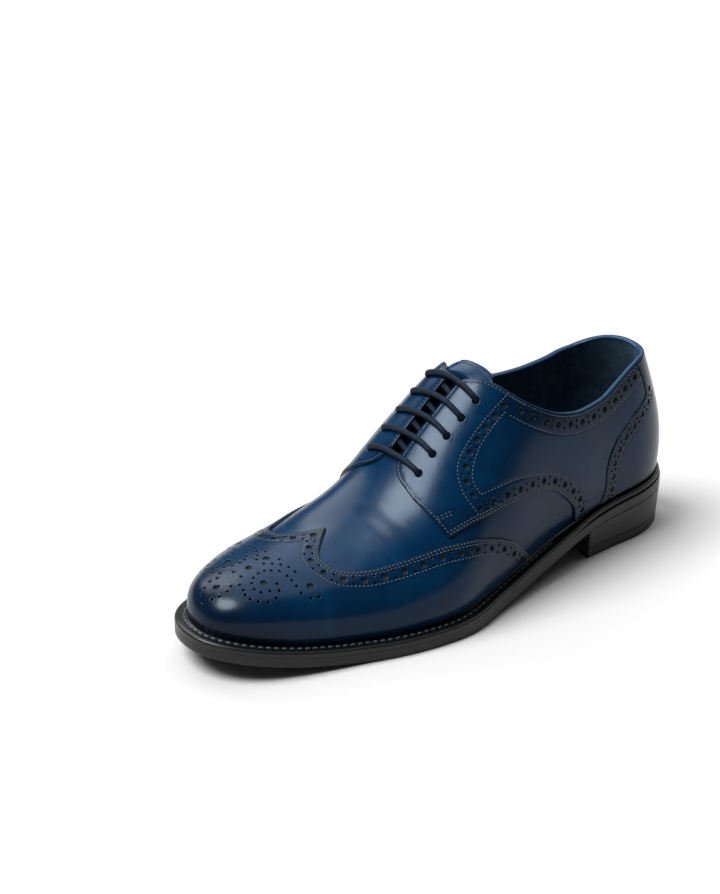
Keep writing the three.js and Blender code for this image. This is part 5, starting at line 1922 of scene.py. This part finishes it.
@dataclass
class Lace:
    """One round waxed lace: five straight bars, and its crossings under the facings."""

    pattern: Pattern
    diameter: float = 3.0
    bar_height: float = 2.1
    under_slit: float = -1.9
    under_facing: float = -3.25
    sides: int = 14
    step: float = 0.7
    pressed: float = 0.4
    hole_path: tuple[tuple[float, float, float], ...] = (
        (0.08, -2.4, 0.8), (0.0, -0.6, 1.0), (-0.42, 1.15, 1.0),
    )

    def route(self) -> tuple[Array, Array, Array]:
        """The lace's way through the eyelets.

        Returns:
            Points along its middle, normals of the leather there, and how flat it is pressed.
        """
        pattern = self.pattern
        stops: list[tuple[float, float, float, float]] = []
        for row in range(pattern.eyelets):
            at, lateral = pattern.eyelet(row, Side.LATERAL)
            _, medial = pattern.eyelet(row, Side.MEDIAL)
            inset = self.diameter / float(pattern.girth(np.array(at), Side.LATERAL))
            if row == 0:
                stops.append((at + 0.006, lateral + 0.8 * inset, self.under_facing, self.pressed))
            path = (*self.hole_path, (-1.1, self.bar_height - 0.45, 1.0))
            stops += [(at, lateral + share * inset, depth, press) for share, depth, press in path]
            for t in (0.22, 0.36, 0.5, 0.64, 0.78):
                share = lateral + (medial - lateral) * t
                sag = 0.25 * math.sin(math.pi * t)
                stops.append((at + 0.0004 * math.sin(9 * t + row), share, self.bar_height - 0.4 + sag, 1.0))
            stops += [(at, medial - share * inset, depth, press) for share, depth, press in reversed(path)]
            if row < pattern.eyelets - 1:
                next_at, next_lateral = pattern.eyelet(row + 1, Side.LATERAL)
                for t in (0.08, 0.25, 0.42, 0.56, 0.75, 0.92):
                    free = 0.4 < t < 0.6
                    depth, press = (self.under_slit, 0.85) if free else (self.under_facing, self.pressed)
                    share = medial + (next_lateral - medial) * t
                    stops.append((at + (next_at - at) * t, share, depth, press))
        for row in range(pattern.eyelets - 1, -1, -1):
            at, medial = pattern.eyelet(row, Side.MEDIAL)
            stops.append((at - 0.004, medial * 1.25, self.under_facing, self.pressed))
        table = np.array(stops)
        points, normals = pattern.last.sample(table[:, 0], table[:, 1])
        places = points + normals * table[:, 2:3]
        return self.rounded(places, normals, table[:, 3])

    def rounded(self, places: Array, normals: Array, press: Array) -> tuple[Array, Array, Array]:
        """Smooth line through the stops, with even steps."""
        padded = np.concatenate([[2 * places[0] - places[1]], places, [2 * places[-1] - places[-2]]])
        fine, where = [], []
        for i in range(len(places) - 1):
            p0, p1, p2, p3 = padded[i:i + 4]
            for t in np.linspace(0, 1, 12, endpoint=False):
                fine.append(0.5 * (2 * p1 + (p2 - p0) * t + (2 * p0 - 5 * p1 + 4 * p2 - p3) * t * t
                                   + (3 * p1 - p0 - 3 * p2 + p3) * t ** 3))
                where.append(i + t)
        fine, where = np.array(fine), np.array(where)
        index = np.arange(len(places))
        extra = np.column_stack([np.interp(where, index, normals[:, k]) for k in range(3)])
        flat = np.interp(where, index, press)
        rows = np.column_stack([fine, extra, flat])
        rows = even_marks(fine, rows, int(measured(fine)[-1] / self.step))
        return rows[:, :3], rows[:, 3:6], rows[:, 6]

    def build(self, shop: Workshop) -> None:
        """Sweeps the lace along its way."""
        points, normals, press = self.route()
        along = unit(np.gradient(points, axis=0))
        side = np.zeros_like(points)
        previous = np.cross(normals[0], along[0])
        for i in range(len(points)):
            previous = previous - along[i] * (previous @ along[i])
            previous /= np.linalg.norm(previous)
            side[i] = previous
        up = np.cross(along, side)
        radius = self.diameter / 2
        angles = np.arange(self.sides) * TURN / self.sides
        lines = []
        for angle in angles:
            reach = side * math.cos(angle) + up * math.sin(angle)
            normal_part = (reach * normals).sum(axis=1, keepdims=True) * normals
            lines.append(points + radius * (reach - normal_part * (1 - press[:, None])))
        tube = Mesh.net(lines, close_columns=True)
        lengths = measured(points)
        ends = [points[:1] - along[0] * 0.6, points[-1:] + along[-1] * 0.6]
        count = len(tube.points)
        first = [(count, (i + 1) % self.sides, i) for i in range(self.sides)]
        base = count - self.sides
        final = [(count + 1, base + i, base + (i + 1) % self.sides) for i in range(self.sides)]
        values = {
            "along": np.append(np.repeat(lengths, self.sides), [0, lengths[-1]]),
            "around": np.append(np.tile(angles, len(points)), [0, 0]),
        }
        faces = np.concatenate([tube.faces, first, final])
        mesh = Mesh(np.concatenate([tube.points, *ends]), faces, values)
        bars = tuple(f"lace_bar_{row + 1}" for row in range(self.pattern.eyelets))
        shop.piece("lace", mesh, WaxedCord("waxed_cord"), bars)


@dataclass
class Sole:
    """Outsole, welt with its stitches, and the insole inside the upper."""

    last: Last
    outsole: float = 5.0
    welt: float = 3.0
    clearance: float = 0.3
    forepart_margin: float = 6.5
    waist_margin: float = 5.5
    heel_margin: float = 3.0
    lap: float = 8.0
    insole: float = 3.0
    insole_inset: float = 3.3
    stitch_in: float = 4.7
    stitch_start: float = 0.335
    station_counts: tuple[int, int, int] = (60, 160, 90)
    heel_end: float = 0.20
    heel_blend: float = 0.30

    def margin(self, at: Array) -> Array:
        """How far the sole stands out past the feather line."""
        waist = blend(at, 0.20, 0.35)
        forepart = blend(at, 0.40, 0.60)
        return (self.heel_margin + (self.waist_margin - self.heel_margin) * waist
                + (self.forepart_margin - self.waist_margin) * forepart)

    def rise(self, at: Array) -> Array:
        """Height of the outsole's lower face."""
        y = self.last.feather(at, Side.LATERAL)[:, 1]
        return self.last.feather_z(0.5 - y / self.last.length) - self.last.feather_height

    def edge(self, at: Array, side: Side, margin: Array) -> Array:
        """Outline in plan at a margin."""
        step = np.maximum(np.minimum(np.minimum(0.0005, at / 2), (1 - at) / 2), 1e-7)
        ahead, behind = np.minimum(at + step, 1), np.maximum(at - step, 0)
        along = self.last.feather(ahead, side) - self.last.feather(behind, side)
        along /= np.maximum(np.linalg.norm(along, axis=1, keepdims=True), 1e-12)
        outward = np.column_stack([-along[:, 1], along[:, 0]]) * side.value
        outward[at >= 1] = (0, -1)
        outward[at <= 0] = (0, 1)
        return self.last.feather(at, side) + outward * np.reshape(margin, (-1, 1))

    def half_ring(self) -> Array:
        """Stations along one side, close together at both round ends."""
        return spread_stations((0, self.last.heel_centre, self.last.toe_start), self.station_counts)

    def ring(self) -> Array:
        """Stations once round the sole: forward on the lateral side, back on the medial side."""
        at = self.half_ring()
        return np.concatenate([at, at[::-1][1:-1]])

    def around(self, inset: Array | float, height: Array | float) -> Array:
        """Ring of points at an inset from the sole's edge and a height above its rise."""
        stations = self.ring()
        half = len(self.half_ring())
        margin = self.margin(stations) - inset
        lateral = self.edge(stations[:half], Side.LATERAL, margin[:half])
        medial = self.edge(stations[half:], Side.MEDIAL, margin[half:])
        return np.column_stack([np.concatenate([lateral, medial]), self.rise(stations) + height])

    def swept(self, profile: list[tuple[Array | float, Array | float]]) -> Mesh:
        """A profile of insets and heights carried once round the sole."""
        return Mesh.net([self.around(inset, height) for inset, height in profile], close_rows=True)

    def floor_of(self, inset: float, height: float) -> Mesh:
        """A flat plate across the sole, inside an inset."""
        at = self.half_ring()
        z = np.repeat((self.rise(at) + height)[:, None], 24, axis=1)
        return self.plate(self.margin(at) - inset, z)

    def plate(self, margin: Array, z: Array) -> Mesh:
        """A plate across the sole.

        Args:
            margin: how far it stands out past the feather line, by station.
            z: its heights, by station and across.

        Returns:
            The mesh.
        """
        at = self.half_ring()
        lateral, medial = (self.edge(at, side, margin) for side in Side)
        t = np.linspace(0, 1, z.shape[1])
        plan = medial[:, None, :] * (1 - t)[None, :, None] + lateral[:, None, :] * t[None, :, None]
        points = np.concatenate([plan, z[..., None]], axis=2)
        return Mesh(points.reshape(-1, 3), net_faces(*z.shape))

    def build(self, shop: Workshop) -> None:
        """Makes the sole's pieces."""
        top = self.outsole + self.clearance
        edge = [
            (1.3, 0.0), (0.55, 0.0), (0.18, 0.12), (0.02, 0.5), (0.0, 1.3), (0.0, 3.2), (0.02, 3.4),
            (0.0, 3.6), (0.0, 5.16), (0.03, 5.25), (0.3, 5.28), (2.5, 5.28),
        ]
        outsole = Mesh.joined([self.swept(edge), self.floor_of(*edge[0]), self.floor_of(*edge[-1])])
        shop.piece("outsole", outsole.welded(), SOLE_DRESSING, ("outsole",))
        full = top + self.welt
        shape = (
            (0.3, top - 0.02, 1.4), (0.03, top, 1.0), (0.0, top + 0.05, 0.75), (0.0, full - 0.95, 0.55),
            (0.10, full - 0.60, 0.6), (0.42, full - 0.20, 0.9), (0.80, full - 0.02, 1.4), (2.4, full, 1.8),
            (3.4, full - 0.10, 2.2), (self.stitch_in, full - 0.28, 2.6), (5.5, full - 0.10, 3.0),
            (5.9, full + 0.05, 3.4), (7.0, full + 0.05, 4.0),
            (self.forepart_margin + self.lap, full - 0.2, 8.0),
        )
        heel = 1 - blend(self.ring(), self.heel_end, self.heel_blend)
        profile = []
        for inset, height, heel_inset in shape:
            swell = 0.5 if height > full - 0.6 else 0.15
            profile.append((inset + (heel_inset - inset) * heel, height + swell * heel))
        shop.piece("welt", self.swept(profile), WELT_DRESSING, ("welt",))
        at = self.half_ring()
        dish = 0.9 * np.sin(math.pi * np.linspace(0, 1, 40))[None, :] ** 0.6
        z = (self.rise(at) + self.last.feather_height + self.insole)[:, None] + 0.2 - dish * 0.9
        sock = self.plate(np.full_like(at, -self.insole_inset), z)
        shop.piece("sock", sock, SOCK_LEATHER, ("insole",))

    def welt_stitches(self) -> Mesh:
        """Stitches of the welt, from the waist round the toe."""
        full = self.outsole + self.clearance + self.welt
        line = self.around(self.stitch_in, full - 0.15)[self.ring() > self.stitch_start]
        coarse = Thread(pitch=3.9, length=2.7, radius=0.5, sides=8)
        count = int(measured(line)[-1] / coarse.pitch)
        centre = even_marks(line, line, count)
        normal = np.tile((0.0, 0.0, 1.0), (len(centre), 1))
        coarse.stitch(unit(np.gradient(centre, axis=0)), normal, centre)
        return coarse.parts[0]


@dataclass
class Heel:
    """The stack of leather lifts and the rubber top piece."""

    sole: Sole
    length: float = 68
    hollow: float = 4
    taper: float = 1.4
    top_piece: float = 5.5
    seat: float = 0.05
    lifts: int = 3

    def ring(self, inset: float, low: float, share_up: float) -> Array:
        """Points once round the heel: along both sides and across its breast.

        Args:
            inset: distance in from its edge.
            low: height where the points are counted from.
            share_up: share of the way from there up to the seat.

        Returns:
            The ring of points.
        """
        last, margin = self.sole.last, self.sole.heel_margin
        breast = self.length / last.length
        centre = last.heel_centre
        at = np.concatenate([np.linspace(0, centre, 46)[:-1], np.linspace(centre, breast, 24)])
        share = np.linspace(1, -1, 26)[1:-1]
        lateral, medial = (self.sole.edge(at, side, margin - inset) for side in Side)
        front_at = breast - self.hollow / last.length * (1 - share * share) - inset / last.length
        front_lateral, front_medial = (self.sole.edge(front_at, side, margin - inset) for side in Side)
        t = ((share + 1) / 2)[:, None]
        front = front_medial * (1 - t) + front_lateral * t
        plan = np.concatenate([lateral, front, medial[::-1][:-1]])
        stations = np.concatenate([at, front_at, at[::-1][:-1]])
        z = low + (self.sole.rise(stations) - self.seat - low) * share_up
        drop = self.taper * (1 - z / (last.heel_rise + self.sole.clearance))
        across = 1 - 2 * drop / last.heel_width
        along = 1 - drop / self.length
        start = last.station_y(breast)
        return np.column_stack([plan[:, 0] * across, start + (plan[:, 1] - start) * along, z])

    def block(self, levels: list[tuple[float, float, float]]) -> Mesh:
        """A closed block between its first and last ring."""
        rings = [self.ring(*level) for level in levels]
        count = len(rings[0])
        walls = Mesh.net(rings, close_rows=True)
        caps = []
        for ring in (rings[0], rings[-1]):
            middle = ring.mean(axis=0, keepdims=True)
            inner = np.concatenate([ring, middle + (ring - middle) * 0.5, middle])
            faces = [net_faces(2, count, close_columns=True), fan(count + np.arange(count), 2 * count)]
            caps.append(Mesh(inner, np.concatenate(faces)))
        return Mesh.joined([walls, *caps]).welded()

    def build(self, shop: Workshop) -> None:
        """Makes the stack and the top piece."""
        shares = [(0.35, 0.0), (0.06, 0.012), (0.0, 0.035)]
        for lift in range(1, self.lifts + 1):
            share = lift / (self.lifts + 1)
            shares += [(0.0, share - 0.015), (0.04, share), (0.0, share + 0.015)]
        shares += [(0.0, 0.97), (0.25, 1.0)]
        stack = self.block([(inset, self.top_piece + 0.12, share) for inset, share in shares])
        shop.piece("heel_stack", stack, HEEL_DRESSING, ("heel_stack",))
        top = self.top_piece
        heights = (
            (0.9, 0.0), (0.3, 0.08), (0.05, 0.4), (0.0, 1.0), (0.0, top - 0.35), (0.07, top - 0.1),
            (0.35, top),
        )
        rubber = self.block([(inset, height, 0.0) for inset, height in heights])
        shop.piece("heel_top_piece", rubber, Rubber("heel_rubber"), ("heel_top_piece",))


@dataclass
class Studio:
    """Floor, lights and camera."""

    shift: tuple[float, float]
    azimuth: float = 50.74
    elevation: float = 25.0
    distance: float = 1308.21
    right: float = -38.11
    raised: float = 27.31
    target_z: float = 45.0
    focal_pixels: float = 2600
    image_height: int = 894
    sensor: float = 36
    clip: tuple[float, float] = (0.05, 30)
    floor_reach: float = 6.0
    sky: float = 0.08
    lamps: tuple[tuple[str, tuple[float, float, float], float, float], ...] = (
        ("softbox", (-0.20, -0.44, 0.87), 34, 5.0), ("softbox_glow", (-0.20, -0.44, 0.87), 56, 0.8),
        ("ceiling", (-0.30, 0.50, 0.82), 70, 1.9), ("fill", (-0.80, 0.10, 0.55), 30, 0.7),
    )

    def axes(self) -> tuple[Array, Array, Array]:
        """The camera's directions: back, right and up."""
        azimuth, elevation = math.radians(self.azimuth), math.radians(self.elevation)
        back = np.array([math.sin(azimuth) * math.cos(elevation), -math.cos(azimuth) * math.cos(elevation),
                         math.sin(elevation)])
        right = np.array([math.cos(azimuth), math.sin(azimuth), 0.0])
        return back, right, np.cross(back, right)

    def build_camera(self) -> None:
        """Places the camera."""
        back, right, up = self.axes()
        target = np.array([*self.shift, self.target_z])
        place = (target + back * self.distance + right * self.right + up * self.raised) * MM
        data = bpy.data.cameras.new("camera")
        data.sensor_width = self.sensor
        data.lens = self.focal_pixels * self.sensor / self.image_height
        data.clip_start, data.clip_end = self.clip
        camera = in_scene("camera", data)
        turn = Matrix((right, up, back)).transposed()
        camera.matrix_world = Matrix.Translation(place) @ turn.to_4x4()
        bpy.context.scene.camera = camera

    def light(self, name: str, direction: tuple[float, float, float], spread: float, power: float) -> None:
        """Adds a wide, even, far light.

        Args:
            name: the light's name.
            direction: where it comes from.
            spread: how wide it looks from the shoe, in degrees.
            power: its strength in watts a square metre.
        """
        data = bpy.data.lights.new(name, "SUN")
        data.angle = math.radians(spread)
        data.energy = power
        lamp = in_scene(name, data)
        lamp.rotation_mode = "QUATERNION"
        lamp.rotation_quaternion = Vector(direction).to_track_quat("Z", "Y")

    def build(self, shop: Workshop) -> None:
        """Lays the floor, hangs the lights and places the camera."""
        floor = bpy.data.meshes.new("floor")
        reach = self.floor_reach
        corners = [(-reach, -reach, 0), (reach, -reach, 0), (reach, reach, 0), (-reach, reach, 0)]
        floor.from_pydata(corners, [], [(0, 1, 2, 3)])
        floor.materials.append(shop.finish(Paper("studio_paper")))
        sheet = in_scene("floor", floor)
        sheet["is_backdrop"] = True
        world = bpy.data.worlds.new("studio")
        world.use_nodes = True
        background = world.node_tree.nodes["Background"]
        background.inputs["Color"].default_value = (1.0, 1.0, 1.0, 1.0)
        background.inputs["Strength"].default_value = self.sky
        bpy.context.scene.world = world
        for lamp in self.lamps:
            self.light(*lamp)
        bpy.context.scene.view_settings.view_transform = "Standard"
        self.build_camera()


def main() -> None:
    """Builds the shoe on its frame, piece by piece."""
    logging.basicConfig(level=logging.INFO, format="%(message)s")
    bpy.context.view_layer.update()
    last = Last()
    sole = Sole(last)
    ring = sole.around(0.0, 0.0)
    low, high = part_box("outsole")
    centre = (ring.min(axis=0) + ring.max(axis=0)) / 2
    shift = (float((low.x + high.x) / 2 / MM - centre[0]), float((low.y + high.y) / 2 / MM - centre[1]))
    LOG.info("frame shift: %.3f %.3f mm", *shift)
    shop = Workshop(shift)
    Studio(shift).build(shop)
    pattern = Pattern(last)
    crown, wrap = Chart(last), Chart(last, wrap=True)
    thread, heel_thread = Thread(), Thread()
    Upper(pattern, crown).build(shop)
    WingCap(pattern, crown).build(shop, thread)
    for side in Side:
        Quarter(pattern, crown, side).build(shop, thread)
    HeelCounter(pattern, wrap).build(shop, heel_thread)
    Tongue(pattern, crown).build(shop, thread)
    shop.piece("hole_floors", Mesh.joined(shop.floors), RAW_FLESH)
    cotton = Cotton("sewing_thread")
    shop.piece("upper_stitches", Mesh.joined(thread.parts), cotton)
    shop.piece("heel_stitches", Mesh.joined(heel_thread.parts), cotton)
    Lace(pattern).build(shop)
    sole.build(shop)
    shop.piece("welt_stitches", sole.welt_stitches(), Cotton("welt_thread"))
    Heel(sole).build(shop)
    low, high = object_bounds()


if __name__ == "__main__":
    main()
